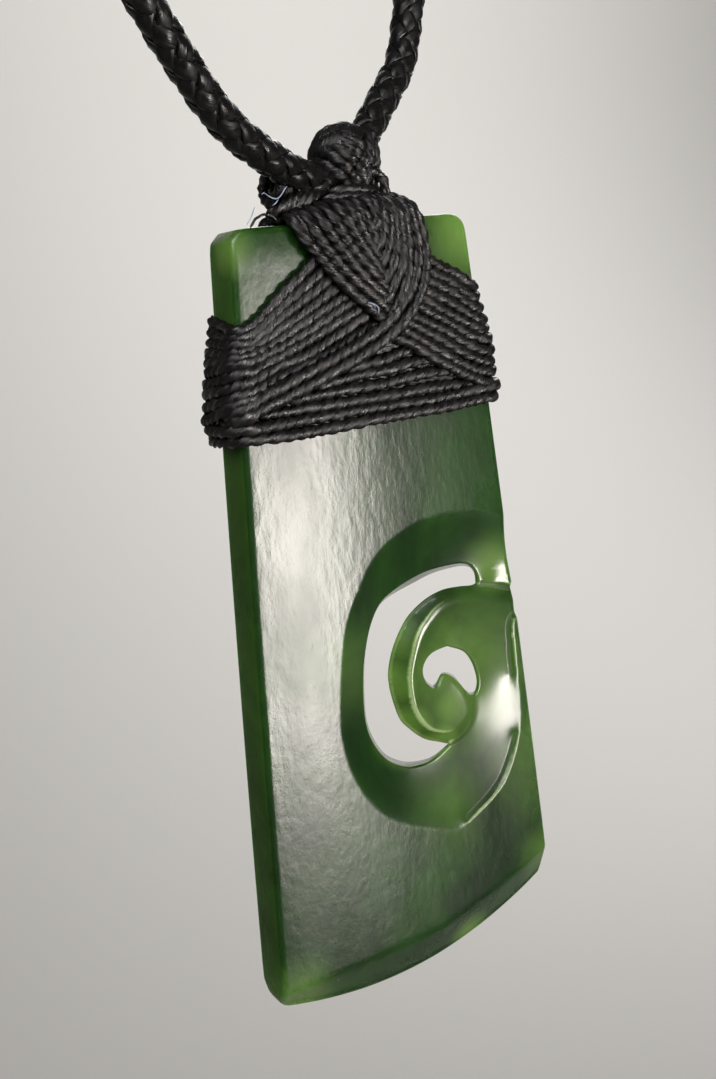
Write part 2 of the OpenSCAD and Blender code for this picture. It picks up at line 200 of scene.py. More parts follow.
class CordSizes(bpy.types.PropertyGroup):
    """Sizes of the neck cord and its plait"""
    core: length("Core", 0.00102, "Mean distance of a strand from the cord's middle")
    weave: length("Weave", 0.00019, "How far a strand rises and falls as it crosses the others")
    strand: length("Strand", 0.00072, "Half the width of one strand")
    flat: length("Flat", 0.00025, "Half the thickness of one strand")
    plait: length("Plait", 0.0104, "Length of one full turn of the plait")
    near: length("Near", 0.06, "Length at each end of the cord with closely set rings")
    step: length("Step", 0.00044, "Spacing of the rings of a strand near the knot")
    far_step: length("Far step", 0.00078, "Spacing of the rings elsewhere")


class Finishes(bpy.types.PropertyGroup):
    """Colours of every surface"""
    stone: colour("Nephrite", "#285418", "Body colour of the stone")
    stone_deep: colour("Deep nephrite", "#12300d", "Darker clouds in the stone")
    # Paler stone of the lime patch, and also the colour of the painted glow, sheen and glints where light
    # comes through thin stone or shines on it
    bright_stone_and_glow: colour("Bright nephrite", "#7fa650", "Lime patches and thin places")
    # Painted highlight: the thin crests of the carving are tinted pale, standing in for light that glints
    # on them and comes through them
    crest_highlight_tint: colour("Crest highlight", "#c3d3a4", "Thin crests of the carving, which let light through")
    thread: colour("Waxed thread", "#040303", "Body colour of the lashing")
    thread_pale: colour("Thread filaments", "#1b1617", "Paler filaments of the lashing")
    cord: colour("Plaited cord", "#050505", "Body colour of the neck cord")
    cord_pale: colour("Cord filaments", "#191717", "Paler filaments of the neck cord")
    lint: colour("Lint", "#b9c6dd", "Colour of the loose fibres by the knot")
    floor: colour("Floor", "#efece7", "Colour of the studio floor")


class StageSettings(bpy.types.PropertyGroup):
    """Strengths of the lights"""
    glare: power("Glare light", 0.262, "Power of the low soft box in front")
    fill: power("Fill light", 0.55, "Power of the soft box from above")
    back: power("Back light", 1.2, "Power of the soft box behind")
    backdrop: power("Backdrop light", 50.0, "Power of the light over the floor")
    sky: bpy.props.FloatProperty(name="Sky", description="Strength of the even surroundings",
        default=0.07, min=0)


def sizes(kind):
    """The lengths of a group of settings, in millimetres."""
    group = getattr(bpy.context.scene, "pendant_" + kind)
    return SimpleNamespace(**{name: getattr(group, name) * 1000 for name in group.__annotations__})


def unit(vectors):
    """Each vector divided by its length."""
    return vectors / np.linalg.norm(vectors, axis=-1, keepdims=True)


def run_along(path):
    """The length run along the path up to each of its points."""
    return np.concatenate([[0], np.cumsum(np.linalg.norm(np.diff(path, axis=0), axis=1))])


def smooth(points, parts, closed=False):
    """A curve through the points: on each stretch a cubic whose slope at a point is half the step
    between its neighbours."""
    p = np.asarray(points, float)
    if closed:
        e = np.vstack([p[-1:], p, p[:2]])
    else:
        e = np.vstack([2 * p[:1] - p[1:2], p, 2 * p[-1:] - p[-2:-1]])
    a, b, c, d = e[:-3, None], e[1:-2, None], e[2:-1, None], e[3:, None]
    t = (np.arange(parts) / parts)[None, :, None]
    made = (2 * b + (c - a) * t + (2 * a - 5 * b + 4 * c - d) * t**2 + (3 * b - a - 3 * c + d) * t**3) / 2
    return np.vstack([made.reshape(-1, p.shape[1]), p[:1] if closed else p[-1:]])


def even(path, step):
    """The same path with its points an even step apart."""
    run = run_along(path)
    at = np.linspace(0, run[-1], max(4, int(round(run[-1] / step)) + 1))
    return np.column_stack([np.interp(at, run, column) for column in path.T])


def crossings(xs, zs):
    """The points of a lattice, column after column."""
    return np.stack(np.meshgrid(xs, zs, indexing="ij"), -1).reshape(-1, 2)


def nearest(points, line):
    """For each point, the vector to it from the nearest place on the line, and that place in
    stretches."""
    start, along = line[:-1, :2], np.diff(line[:, :2], axis=0)
    found = []
    for some in np.array_split(points, 1 + len(points) * len(start) // MOST_AT_ONCE):
        away = some[:, None] - start
        share = np.clip((away * along).sum(-1) / (along**2).sum(-1), 0, 1)
        away -= share[..., None] * along
        row, k = np.arange(len(some)), (away**2).sum(-1).argmin(1)
        found.append(np.column_stack([away[row, k], k + share[row, k]]))
    found = np.concatenate(found)
    return found[:, :2], found[:, 2]


def within(points, loop):
    """True for a point that a level ray leaves the loop from an odd number of times."""
    a, b = loop[:-1, :2], loop[1:, :2]
    rise = np.where(a[:, 1] == b[:, 1], 1e-9, b[:, 1] - a[:, 1])
    found = []
    for some in np.array_split(points, 1 + len(points) * len(a) // MOST_AT_ONCE):
        x, z = some[:, :1], some[:, 1:2]
        spans = (a[:, 1] > z) != (b[:, 1] > z)
        found.append((spans & (x < a[:, 0] + (z - a[:, 1]) * (b[:, 0] - a[:, 0]) / rise)).sum(1) % 2 == 1)
    return np.concatenate(found)


def half_width(z):
    """Half the top width, plus half the flare times the share of the way down, plus the bow."""
    b = sizes("blade")
    s = -z / b.length
    return (b.top_width + (b.low_width - b.top_width) * s) / 2 + 4 * b.side_bow * s * (1 - s)


def face_height(x, z):
    """Half the side thickness plus a crown that falls off with the square of the distance from the
    middle."""
    b = sizes("blade")
    return b.side_thickness / 2 + b.crown * np.clip(1 - (x / half_width(z)) ** 2, 0, 1)


def edge_height(x):
    """Height of the cutting edge: a bow that is lowest in the middle, on a slant."""
    b = sizes("blade")
    u = x / (b.low_width / 2)
    return -b.length - b.edge_bow * (1 - u**2) + b.edge_slant / 2 * u


def rounded(points, radii):
    """A closed loop with each corner cut by an arc-like curve that starts and ends at the given
    distance from it: a conic through both ends that leans towards the corner."""
    p, r = np.asarray(points, float), np.asarray(radii, float)[:, None]
    back, on = unit(np.roll(p, 1, 0) - p), unit(np.roll(p, -1, 0) - p)
    t = np.linspace(0, 1, 9)[None, :, None]
    a, c = (p + back * r)[:, None], (p + on * r)[:, None]
    w = 0.75  # pull of the corner on the curve
    weight = 1 + 2 * (w - 1) * t * (1 - t)
    made = ((1 - t) ** 2 * a + 2 * w * t * (1 - t) * p[:, None] + t**2 * c) / weight
    flat = made.reshape(-1, 2)
    return np.vstack([flat, flat[:1]])


def blade_outline():
    """The blade's plan: straight top, flared sides, bowed cutting edge, and rounded corners. The sides
    stop short of the corners, to leave room for their rounding."""
    b = sizes("blade")
    z = np.append(np.linspace(-b.length + 2, -b.length / 2 - 1, 14),
        np.linspace(-b.length / 2, -1.5, 14))
    side = np.column_stack([half_width(z), z])
    reach = half_width(-b.length)
    low_x = np.concatenate([[-reach], np.linspace(-13.5, 13.5, 55), [reach]])
    edge = np.column_stack([low_x, edge_height(low_x)])
    top = b.top_width / 2
    points = np.vstack([[[top, 0]], [[-top, 0]], (side * [-1, 1])[::-1], edge, side])
    radii = np.full(len(points), 0.01)  # too little to see, everywhere but at the corners
    radii[:2] = b.top_corner
    radii[2 + len(side)] = b.left_corner
    radii[1 + len(side) + len(edge)] = b.right_corner
    return rounded(points, radii)


def doubled(sheet):
    """The sheet on a lattice twice as fine, with the new points half way between the old."""
    for _ in range(2):
        new = np.empty((2 * sheet.shape[0] - 1, sheet.shape[1]))
        new[::2] = sheet
        new[1::2] = (sheet[1:] + sheet[:-1]) / 2
        sheet = new.T
    return sheet


def neighbour_mean(sheet, reach):
    """At each point of the lattice, the mean of the four that lie the given number of cells away."""
    p = np.pad(sheet, reach, mode="edge")
    mid, low, high = slice(reach, -reach), slice(None, -2 * reach), slice(2 * reach, None)
    return (p[low, mid] + p[high, mid] + p[mid, low] + p[mid, high]) / 4


def carved_depth():
    """Depth of the carving on a lattice: a stretched membrane, held at the depths of the carved lines
    and level outside them, in which each free point lies at the mean of its four neighbours plus an
    even pull."""
    lines = [smooth(line, 4) for line in CARVED_LINES]
    ground = np.vstack([lines[0], [GROUND_CLOSE], lines[0][:1]])
    sheet = None
    for cell, rounds in CARVED_PASSES:
        xs, zs = (np.arange(low, high + cell / 2, cell) for low, high in zip(CARVED_LOW, CARVED_HIGH))
        grid = crossings(xs, zs)
        held, value = ~within(grid, ground), np.zeros(len(grid))
        for line in lines:
            away, place = nearest(grid, line)
            close = np.hypot(*away.T) < HELD_REACH * cell
            held[close] = True
            value[close] = np.interp(place[close], np.arange(len(line)), line[:, 2])
        held, value = held.reshape(len(xs), len(zs)), value.reshape(len(xs), len(zs))
        sheet = value.copy() if sheet is None else np.where(held, value, doubled(sheet))
        turn = np.add.outer(np.arange(len(xs)), np.arange(len(zs))) % 2
        for k in range(2 * rounds):
            mean = neighbour_mean(sheet, 1) + FLOOR_PULL * cell**2 / 4
            move = ~held & (turn == k % 2)
            sheet[move] += OVERSHOOT * (mean - sheet)[move]
    for _ in range(SOFTENING):
        sheet = (neighbour_mean(sheet, 1) + sheet) / 2
    return CARVED_LOW, cell, sheet


def crests(lattice):
    """How far each place of the lattice stands above the mean of the four places two cells away."""
    low, cell, sheet = lattice
    return low, cell, neighbour_mean(sheet, 2) - sheet


def sampled(lattice, points):
    """The lattice's value at each point, level across the four round it, and 0 outside."""
    low, cell, sheet = lattice
    u = (points - np.array(low)) / cell
    inside = (u >= 0).all(1) & (u < np.array(sheet.shape) - 1.001).all(1)
    u = np.clip(u, 0, np.array(sheet.shape) - 1.002)
    i, f = u.astype(int), u - u.astype(int)
    a, b = sheet[i[:, 0], i[:, 1]], sheet[i[:, 0] + 1, i[:, 1]]
    c, d = sheet[i[:, 0], i[:, 1] + 1], sheet[i[:, 0] + 1, i[:, 1] + 1]
    fx, fz = f.T
    return np.where(inside, (a * (1 - fx) + b * fx) * (1 - fz) + (c * (1 - fx) + d * fx) * fz, 0)


def blade_face(points, lattice):
    """Height of the face above the blade's middle plane, and the depth carved into it: the crowned
    face, which falls off a little at the top, less the carving, less the even bevel from its line to
    the cutting edge."""
    b = sizes("blade")
    x, z = points.T
    plain = face_height(x, z) - TOP_FALL * np.clip(1 + z / TOP_REACH, 0, 1) ** 2
    top = np.interp(x, *np.array(BEVEL_LINE).T)
    share = (top - z) / (top - edge_height(x))
    share = (share + np.sqrt(share**2 + BEVEL_BLEND)) / 2
    depth = sampled(lattice, points)
    return np.maximum(plain - depth - (plain - b.edge_thickness / 2) * share, LEAST_HEIGHT), depth


def clipped(shape, value):
    """Triangles of a lattice where the value is above 0, cut where it passes 0. Gives the triangles,
    the cut ones' new corners as pairs of lattice points, and the cut's own edges."""
    n, m = shape
    i = (np.arange(n - 1)[:, None] * m + np.arange(m - 1)).ravel()
    tri = np.vstack([np.column_stack([i, i + m, i + m + 1]), np.column_stack([i, i + m + 1, i + 1])])
    kept = value[tri] > 0
    count = kept.sum(1)
    whole = tri[count == 3]
    new, edges, ends = [], [], []
    for wanted in (1, 2):
        t, k = tri[count == wanted], kept[count == wanted]
        odd = (k if wanted == 1 else ~k).argmax(1)
        row = np.arange(len(t))
        # The cut parts corner a from p and q
        a, p, q = t[row, odd], t[row, (odd + 1) % 3], t[row, (odd + 2) % 3]
        ends.append((a, p, q, wanted))
    pairs = np.vstack([np.column_stack([a, c]) for a, p, q, _ in ends for c in (p, q)])
    pairs = np.sort(pairs, axis=1)
    first = len(value)
    keys, where = np.unique(pairs[:, 0] * first + pairs[:, 1], return_inverse=True)
    at = 0
    for a, p, q, wanted in ends:
        ap = first + where[at:at + len(a)]
        aq = first + where[at + len(a):at + 2 * len(a)]
        at += 2 * len(a)
        if wanted == 1:
            new.append(np.column_stack([a, ap, aq]))
            edges.append(np.column_stack([ap, aq]))
        else:
            new += [np.column_stack([ap, p, q]), np.column_stack([ap, q, aq])]
            edges.append(np.column_stack([aq, ap]))
    return np.vstack([whole] + new), np.column_stack([keys // first, keys % first]), np.vstack(edges)


def ramp(x, start, end):
    """A smooth step from 0 at the start to 1 at the end."""
    t = np.clip((x - start) / (end - start), 0, 1)
    return t * t * (3 - 2 * t)


def pierced_plan(grid, shape):
    """The blade in plan, from the points of a lattice: its triangles, cut where a rim starts inside the
    outline and round the pierced places, and the edges and places of that cut. Each place comes with
    the way out to the blade's edge and the width of the rim."""
    b = sizes("blade")
    slot = smooth(np.array(SLOT_OUTER[:-1] + [SLOT_CLOSE] + SLOT_INNER[::-1])[:, :2], 6, True)
    eye = smooth(np.array(EYE_LEFT + BULB_EDGE[1:4] + EYE_CLOSE + EYE_RIGHT[:0:-1])[:, :2], 6, True)
    loops = [(blade_outline(), 1, b.rim), (slot, -1, b.carved_rim), (eye, -1, b.carved_rim)]

    def margins(points):
        """How far inside each loop's rim the points lie, and the way out to the loop."""
        found = []
        for loop, sign, rim in loops:
            away, _ = nearest(points, loop)
            inner = np.where(within(points, loop), 1, -1) * sign
            found.append((inner * np.hypot(*away.T) - rim, away * (-inner)[:, None]))
        return [np.array(part) for part in zip(*found)]

    value = margins(grid)[0].min(0)
    tri, pairs, edges = clipped(shape, value)
    va, vb = value[pairs[:, 0]], value[pairs[:, 1]]
    cut = grid[pairs[:, 0]] + (va / (va - vb))[:, None] * (grid[pairs[:, 1]] - grid[pairs[:, 0]])
    values, outward = margins(cut)
    which, row = values.argmin(0), np.arange(len(cut))
    normal = outward[which, row]
    normal /= np.maximum(np.linalg.norm(normal, axis=1), 1e-9)[:, None]
    rim = np.array([loop[2] for loop in loops])[which]
    return tri, edges, cut + normal * values[which, row][:, None], normal, rim


def carved_blade():
    """Corners, triangles, four-sided faces, carved depth and crests of the blade. Each face is a
    lattice in x and z, cut just inside the outline and round the pierced places; rings from there round
    the edge over, and the lowest ring of one face is joined to the other's. The back face's carving
    lies a little to the right, so that the pierced places slant through the stone."""
    b = sizes("blade")
    xs = np.concatenate([np.arange(COLUMNS_LEFT, FINE_X[0], b.coarse_cell),
        np.arange(*FINE_X, b.fine_cell), COLUMNS_RIGHT])
    zs = np.concatenate([np.arange(ROWS_FOOT, LOW_Z[0], b.coarse_cell), np.arange(*LOW_Z, b.low_cell),
        np.arange(*FINE_Z, b.fine_cell), np.arange(FINE_Z[1], ROWS_HEAD, b.coarse_cell)])
    grid = crossings(xs, zs)
    tri, edges, cut, normal, rim = pierced_plan(grid, (len(xs), len(zs)))

    # The front face, and the rings that round its edge over in a quarter of an ellipse
    flat = np.vstack([grid, cut])
    lattice = carved_depth()
    height, depth = blade_face(flat, lattice)
    last = height[len(grid):]
    drop = np.minimum(rim, ROUNDED_MOST * last)
    layers = [np.column_stack([flat[:, 0], -height, flat[:, 1]])]
    for a in RING_ANGLES:
        ring = cut + normal * (rim * math.sin(a))[:, None]
        layers.append(np.column_stack([ring[:, 0], -(last - drop * (1 - math.cos(a))), ring[:, 1]]))
    front = np.vstack(layers)
    rings = len(RING_ANGLES)
    carved, crest = (np.tile(np.concatenate([v] + [v[len(grid):]] * rings), 2)
        for v in (depth, sampled(crests(lattice), flat)))

    # Faces from ring to ring, and the wall from the front's lowest ring to the back's
    e = edges - len(grid)
    starts = [len(grid)] + [len(flat) + k * len(cut) for k in range(rings)]
    quads = np.vstack([np.column_stack([e[:, 1] + s, e[:, 0] + s, e[:, 0] + t, e[:, 1] + t])
        for s, t in zip(starts[:-1], starts[1:])])
    n, s = len(front), starts[-1]
    wall = np.column_stack([e[:, 1] + s, e[:, 0] + s, e[:, 0] + s + n, e[:, 1] + s + n])

    # The back face is the front's mirror, moved over where the stone is pierced
    x, z = front[:, 0], front[:, 2]
    share = ramp(x, *SLANT_LEFT) * ramp(x, *SLANT_RIGHT) * ramp(z, *SLANT_FOOT) * ramp(z, *SLANT_HEAD)
    share *= SLANT_SHARE + (1 - SLANT_SHARE) * ramp(x, *SLANT_FULL)
    shift = share[:, None] * [b.slant, 0, -0.5 * b.slant]
    points = np.vstack([front, front * [1, -1, 1] + shift])
    tri = np.vstack([tri, tri[:, ::-1] + n])
    quads = np.vstack([quads, quads[:, ::-1] + n, wall])
    return points, tri, quads, carved, crest


def put_mesh(name, points, faces, attributes, material):
    """A smooth mesh piece in metres, from points in millimetres in the blade's frame. faces holds
    arrays of corner numbers, one row a face; corners that no face uses are left out."""
    used = np.unique(np.concatenate([f.ravel() for f in faces]))
    number = np.zeros(len(points), np.int64)
    number[used] = np.arange(len(used))
    points = (points[used] - [0, 0, DROP]) / 1000
    mesh = bpy.data.meshes.new(name)
    mesh.vertices.add(len(points))
    mesh.vertices.foreach_set("co", points.astype(np.float32).ravel())
    corners = np.concatenate([number[f].ravel() for f in faces])
    counts = np.concatenate([np.full(len(f), f.shape[1]) for f in faces])
    mesh.loops.add(len(corners))
    mesh.loops.foreach_set("vertex_index", corners.astype(np.int32))
    mesh.polygons.add(len(counts))
    mesh.polygons.foreach_set("loop_start", (np.cumsum(counts) - counts).astype(np.int32))
    mesh.polygons.foreach_set("use_smooth", np.ones(len(counts), bool))
    for key, values in attributes.items():
        kind, field = ("FLOAT", "value") if values.ndim == 1 else ("FLOAT_VECTOR", "vector")
        layer = mesh.attributes.new(key, kind, "POINT")
        layer.data.foreach_set(field, values[used].astype(np.float32).ravel())
    mesh.update(calc_edges=True)
    mesh.validate()
    mesh.materials.append(material)
    piece = bpy.data.objects.new(name, mesh)
    bpy.context.scene.collection.objects.link(piece)
    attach(piece, "root")
    return piece


def node(tree, kind, inputs=None, **settings):
    """Adds one node. Settings are its own; inputs are values, or sockets to link, by name or number. Of
    a Map Range node, inputs 1 and 2 are the range that it reads, and 3 and 4 what those turn into."""
    made = tree.nodes.new(kind)
    for name, value in settings.items():
        setattr(made, name, value)
    for name, value in (inputs or {}).items():
        if isinstance(value, bpy.types.NodeSocket):
            tree.links.new(value, made.inputs[name])
        else:
            made.inputs[name].default_value = value
    return made


def new_material(name):
    """An empty material with its shader linked to its output."""
    material = bpy.data.materials.new(name)
    material.use_nodes = True
    tree = material.node_tree
    tree.nodes.clear()
    shader = node(tree, "ShaderNodeBsdfPrincipled")
    node(tree, "ShaderNodeOutputMaterial", {"Surface": shader.outputs[0]})
    return material, tree, shader


def tube_faces(rows, m):
    """Faces between rings of m points, ring after ring, and the fans that close both ends, whose
    middles are the two points after the last ring."""
    q, on, last = np.arange(m), (np.arange(m) + 1) % m, (rows - 1) * m
    i, k = ((np.arange(rows - 1)[:, None] * m + place).ravel() for place in (q, on))
    fans = np.vstack([np.column_stack([np.full(m, rows * m), on, q]),
        np.column_stack([np.full(m, rows * m + 1), last + q, last + on])])
    return np.column_stack([i, k, k + m, i + m]), fans


def strand(path, facing, radius, twist, step, number, groove=PLY_GROOVE, flat=PRESSED, sides=12):
    """Points, faces and fibre coordinates of one twisted strand along a path. Round each place on it
    stands a ring of points, pressed flat by the given share, which dips between three plies and turns
    with the length, both a little unevenly; the ends close with a fan. facing is the ring's own up.
    With no step the path's points are kept. The number sets the strand's own phase."""
    run = np.hstack([path, facing])
    if step:
        run = even(run, step)
    p, up = run[:, :3], run[:, 3:]
    along = unit(np.gradient(p, axis=0))
    side = unit(np.cross(along, up))
    up = np.cross(side, along)
    s = run_along(p)
    end = np.clip(np.minimum(s, s[-1] - s) / radius + 0.25, 0, 1)
    j = 2 * np.pi * np.arange(sides) / sides
    # Waves of 3.3, 9 and 7.9 mm, which share no common length
    uneven = 0.3 * groove
    swell = 1 + uneven * np.sin(1.9 * s + 2.1 * number) * np.sin(0.7 * s + number)
    lobe = radius * (swell * np.sqrt(end))[:, None] * (1 - groove * (0.5 + 0.5 * np.cos(3 * j)))[None]
    turn = j[None] + 2 * np.pi * (s / twist + 0.37 * number + uneven * np.sin(0.8 * s + number))[:, None]
    rings = (p[:, None] + (lobe * np.cos(turn))[..., None] * side[:, None]
        + flat * (lobe * np.sin(turn))[..., None] * up[:, None])
    place = (s[:, None] + FIBRE_APART * number, radius * np.cos(j), radius * np.sin(j))
    fibre = np.stack(np.broadcast_arrays(*place), -1)
    quads, fans = tube_faces(len(p), sides)
    points = np.vstack([rings.reshape(-1, 3), p[:1], p[-1:]])
    return points, quads, fans, np.vstack([fibre.reshape(-1, 3), fibre[0, :1], fibre[-1, :1]])


def put_strands(name, strands, material, nodes):
    """One piece from several strands, which stands for its CAD nodes."""
    first = np.cumsum([0] + [len(s[0]) for s in strands])
    faces = [s[k] + f for s, f in zip(strands, first) for k in (1, 2)]
    piece = put_mesh(name, np.vstack([s[0] for s in strands]), faces,
        {"fibre": np.vstack([s[3] for s in strands])}, material)
    if nodes:
        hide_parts(*nodes)


def around(u, z, lift):
    """Places round the lashed blade, and the way out from it: the level section is a rounded box with
    crowned faces. u is 0 at the front's middle, 1 at a long edge, 2 at the back's, 3 at the back's
    middle."""
    b = sizes("blade")
    half, deep, r = half_width(z) + lift, b.side_thickness / 2 + lift, b.rim + lift
    quarter, straight, side = r * np.pi / 2, half - r, 2 * (deep - r)
    front, flank = straight + quarter / 2, side + quarter
    v = np.abs(u)
    s = np.where(v < 1, v * front,
        np.where(v < 2, front + (v - 1) * flank, front + flank + (v - 2) * front))
    turn = (np.clip((s - straight) / r, 0, np.pi / 2)
        + np.clip((s - straight - quarter - side) / r, 0, np.pi / 2))
    x = np.minimum(s, straight) + r * np.sin(turn) - np.maximum(s - straight - 2 * quarter - side, 0)
    y = -(deep - r) - r * np.cos(turn) + np.clip(s - straight - quarter, 0, side)
    y -= np.cos(turn) * b.crown * np.clip(1 - (x / half_width(z)) ** 2, 0, 1)
    x, out = x * np.sign(u), np.sin(turn) * np.sign(u)
    return np.column_stack([x, y, z]), np.column_stack([out, -np.cos(turn), np.zeros(len(u))])


def over(x, h, lift):
    """Places on a way over the blade's top edge, and the way out from it: h is the height on the front
    face, and from there the length that the way has run, over the rounded top and down the back."""
    b = sizes("blade")
    r = b.rim + lift
    deep = face_height(x, np.minimum(h, 0)) + lift
    quarter, top, s = r * np.pi / 2, 2 * (deep - r), h + b.rim
    turn = np.clip(s / r, 0, np.pi / 2) + np.clip((s - quarter - top) / r, 0, np.pi / 2)
    z = -b.rim + np.minimum(s, 0) + r * np.sin(turn) - np.maximum(s - 2 * quarter - top, 0)
    y = -(deep - r) - r * np.cos(turn) + np.clip(s - quarter, 0, top)
    return np.column_stack([x, y, z]), np.column_stack([np.zeros(len(x)), -np.cos(turn), np.sin(turn)])


def unrolled(guide):
    """Guide points with x on the front turned into the share u of the way to the edge. Past 20, a guide
    point is 20 plus u already."""
    q, z, lift = np.asarray(guide, float).T
    b = sizes("blade")
    front = half_width(z) + lift - (b.rim + lift) * (1 - np.pi / 4)
    return np.column_stack([np.where(np.abs(q) < 20, q / front, q - np.sign(q) * 20), z, lift])


def guides(keys, count, seed, unroll):
    """Guide lines of a band's strands, evenly between its key strands, each a little off its place."""
    drift = np.random.default_rng(SEED + seed)
    marks = np.array([mark for mark, _ in keys], float)
    lines = np.array([unrolled(line) if unroll else line for _, line in keys], float)
    for k in range(count):
        at = k / max(count - 1, 1) * marks[-1]
        i = min(np.searchsorted(marks, at, side="right") - 1, len(marks) - 2)
        share = (at - marks[i]) / (marks[i + 1] - marks[i])
        line = lines[i] * (1 - share) + lines[i + 1] * share
        line[:, 1] += drift.normal(0, STRAY, len(line))
        line[:, 2] += drift.normal(0, STRAY, len(line))
        yield smooth(line, PARTS)


# Key strands of the lashing, each with its mark in the count of strands: x or 20 plus u, then z, then
# height of the strand's middle above the stone
LEFT_FAN = [
    (0, [(-3.7, -2.2, 0.5), (-5.3, -3.5, 0.5), (-7.2, -4.9, 0.5), (-9.0, -6.4, 0.45), (-10.5, -7.5, 0.4),
        (-21, -7.9, 0.24), (-21.5, -7.4, 0.24), (-22, -7.0, 0.35)]),
    (5, [(0.2, -5.6, 0.5), (-1.8, -6.6, 0.5), (-4.7, -7.9, 0.5), (-7.7, -9.1, 0.55), (-9.9, -9.8, 0.65),
        (-21, -10.6, 0.95), (-21.5, -10.9, 1.0), (-22, -11, 0.8)]),
    (9, [(2.6, -8.3, 0.4), (0.9, -9.1, 0.5), (-2.0, -10.3, 0.5), (-5.5, -11.5, 0.6), (-8.6, -12.3, 0.8),
        (-21, -13.6, 1.5), (-21.5, -14.4, 1.5), (-22, -14.8, 1.1)])]
RIGHT_FAN = [
    (0, [(4.6, -2.4, 0.5), (6.7, -4.0, 0.55), (8.9, -4.9, 0.45), (10.8, -6.0, 0.3), (21, -6.3, 0.16),
        (21.5, -6.2, 0.2), (22, -6.1, 0.35)]),
    (5, [(3.0, -6.5, 0.55), (5.0, -7.6, 0.75), (7.7, -9.0, 0.7), (10.3, -10.5, 0.7), (21, -11.1, 0.75),
        (21.5, -10.9, 0.75), (22, -10.8, 0.6)]),
    (9, [(1.8, -9.8, 0.6), (3.4, -10.5, 0.9), (6.3, -12.2, 0.9), (9.6, -14.0, 0.8), (21, -14.9, 0.85),
        (21.5, -14.7, 0.8), (22, -14.5, 0.6)])]
LEVEL_LOOPS = [
    (0, [(-22.9, -16.3, 0.48), (-22, -16.35, 0.7), (-21.5, -16.35, 1.0), (-21, -16.35, 0.9),
        (-7, -16.35, 0.5), (0, -16.3, 0.48), (7, -16.2, 0.48), (21, -16.1, 0.7), (21.5, -16.1, 0.7),
        (22, -16.1, 0.48), (22.9, -16.3, 0.48)]),
    (1, [(-22.9, -15.4, 0.48), (-22, -15.5, 1.0), (-21.5, -15.5, 1.35), (-21, -15.5, 1.25),
        (-7, -15.45, 0.55), (0, -15.4, 0.48), (7, -15.3, 0.48), (21, -15.2, 0.9), (21.5, -15.2, 0.9),
        (22, -15.2, 0.55), (22.9, -15.4, 0.48)])]
LEVEL_SHORT = [
    (0, [(-3.0, -12.0, 0.3), (-1.0, -11.7, 0.48), (1.0, -11.4, 0.48), (3.0, -11.1, 0.48),
        (4.6, -10.9, 0.2)]),
    (3, [(-11, -14.7, 0.3), (-5, -14.5, 0.48), (1, -14.4, 0.48), (6.5, -14.4, 0.48),
        (11.6, -14.6, 0.2)])]
BACK_WRAPS = [
    (0, [(-22, -6.9, 0.5), (-22.5, -6.8, 0.5), (-23, -6.6, 0.5), (-23.5, -6.3, 0.5),
        (-24, -6.1, 0.5)]),
    (9, [(-22, -14.8, 0.5), (-22.5, -14.7, 0.5), (-23, -14.6, 0.5), (-23.5, -14.5, 0.5),
        (-24, -14.5, 0.5)])]
# Key strands of the bands over the top edge: x, height on the front or length run from there, and
# height of the strand's middle above the stone
CENTRE_LEFT = [
    (0, [(3.1, -9.6, 0.8), (1.5, -8.5, 1.2), (-0.5, -7.1, 1.4), (-2.7, -5.1, 1.4), (-4.6, -2.7, 1.2),
        (-5.9, -0.6, 0.9), (-6.1, 1.2, 0.6), (-5.8, 4.0, 0.6), (-5.6, 7.5, 0.7), (-5.2, 14.5, 1.0)]),
    (6, [(1.0, -2.9, 0.8), (0.7, -1.9, 1.3), (0.3, -1.0, 1.5), (-0.1, 0.0, 1.6), (-0.5, 1.4, 1.7),
        (-0.7, 2.8, 1.7), (-0.7, 4.8, 1.7), (-0.7, 7.2, 1.7), (-0.7, 10.0, 1.6), (-0.6, 15.5, 1.3)])]
CENTRE_RIGHT = [
    (0, [(0.2, -9.2, 0.7), (1.4, -8.0, 1.2), (2.5, -6.6, 1.4), (3.4, -4.8, 1.5), (3.8, -2.6, 1.5),
        (3.7, -0.7, 1.6), (3.1, 1.2, 1.7), (2.3, 3.0, 1.8), (1.9, 5.0, 1.9), (1.9, 7.0, 1.9),
        (2.3, 9.5, 1.7), (2.8, 15.5, 1.3)]),
    (5, [(-0.5, -1.9, 0.8), (0.1, -1.6, 1.3), (0.6, -1.0, 1.5), (0.9, -0.4, 1.6), (0.9, 0.4, 1.6),
        (0.7, 1.4, 1.7), (0.4, 2.2, 1.8), (0.1, 3.4, 1.8), (0.0, 5.0, 1.9), (0.0, 7.0, 1.9),
        (0.1, 9.5, 1.8), (0.2, 15.5, 1.3)])]
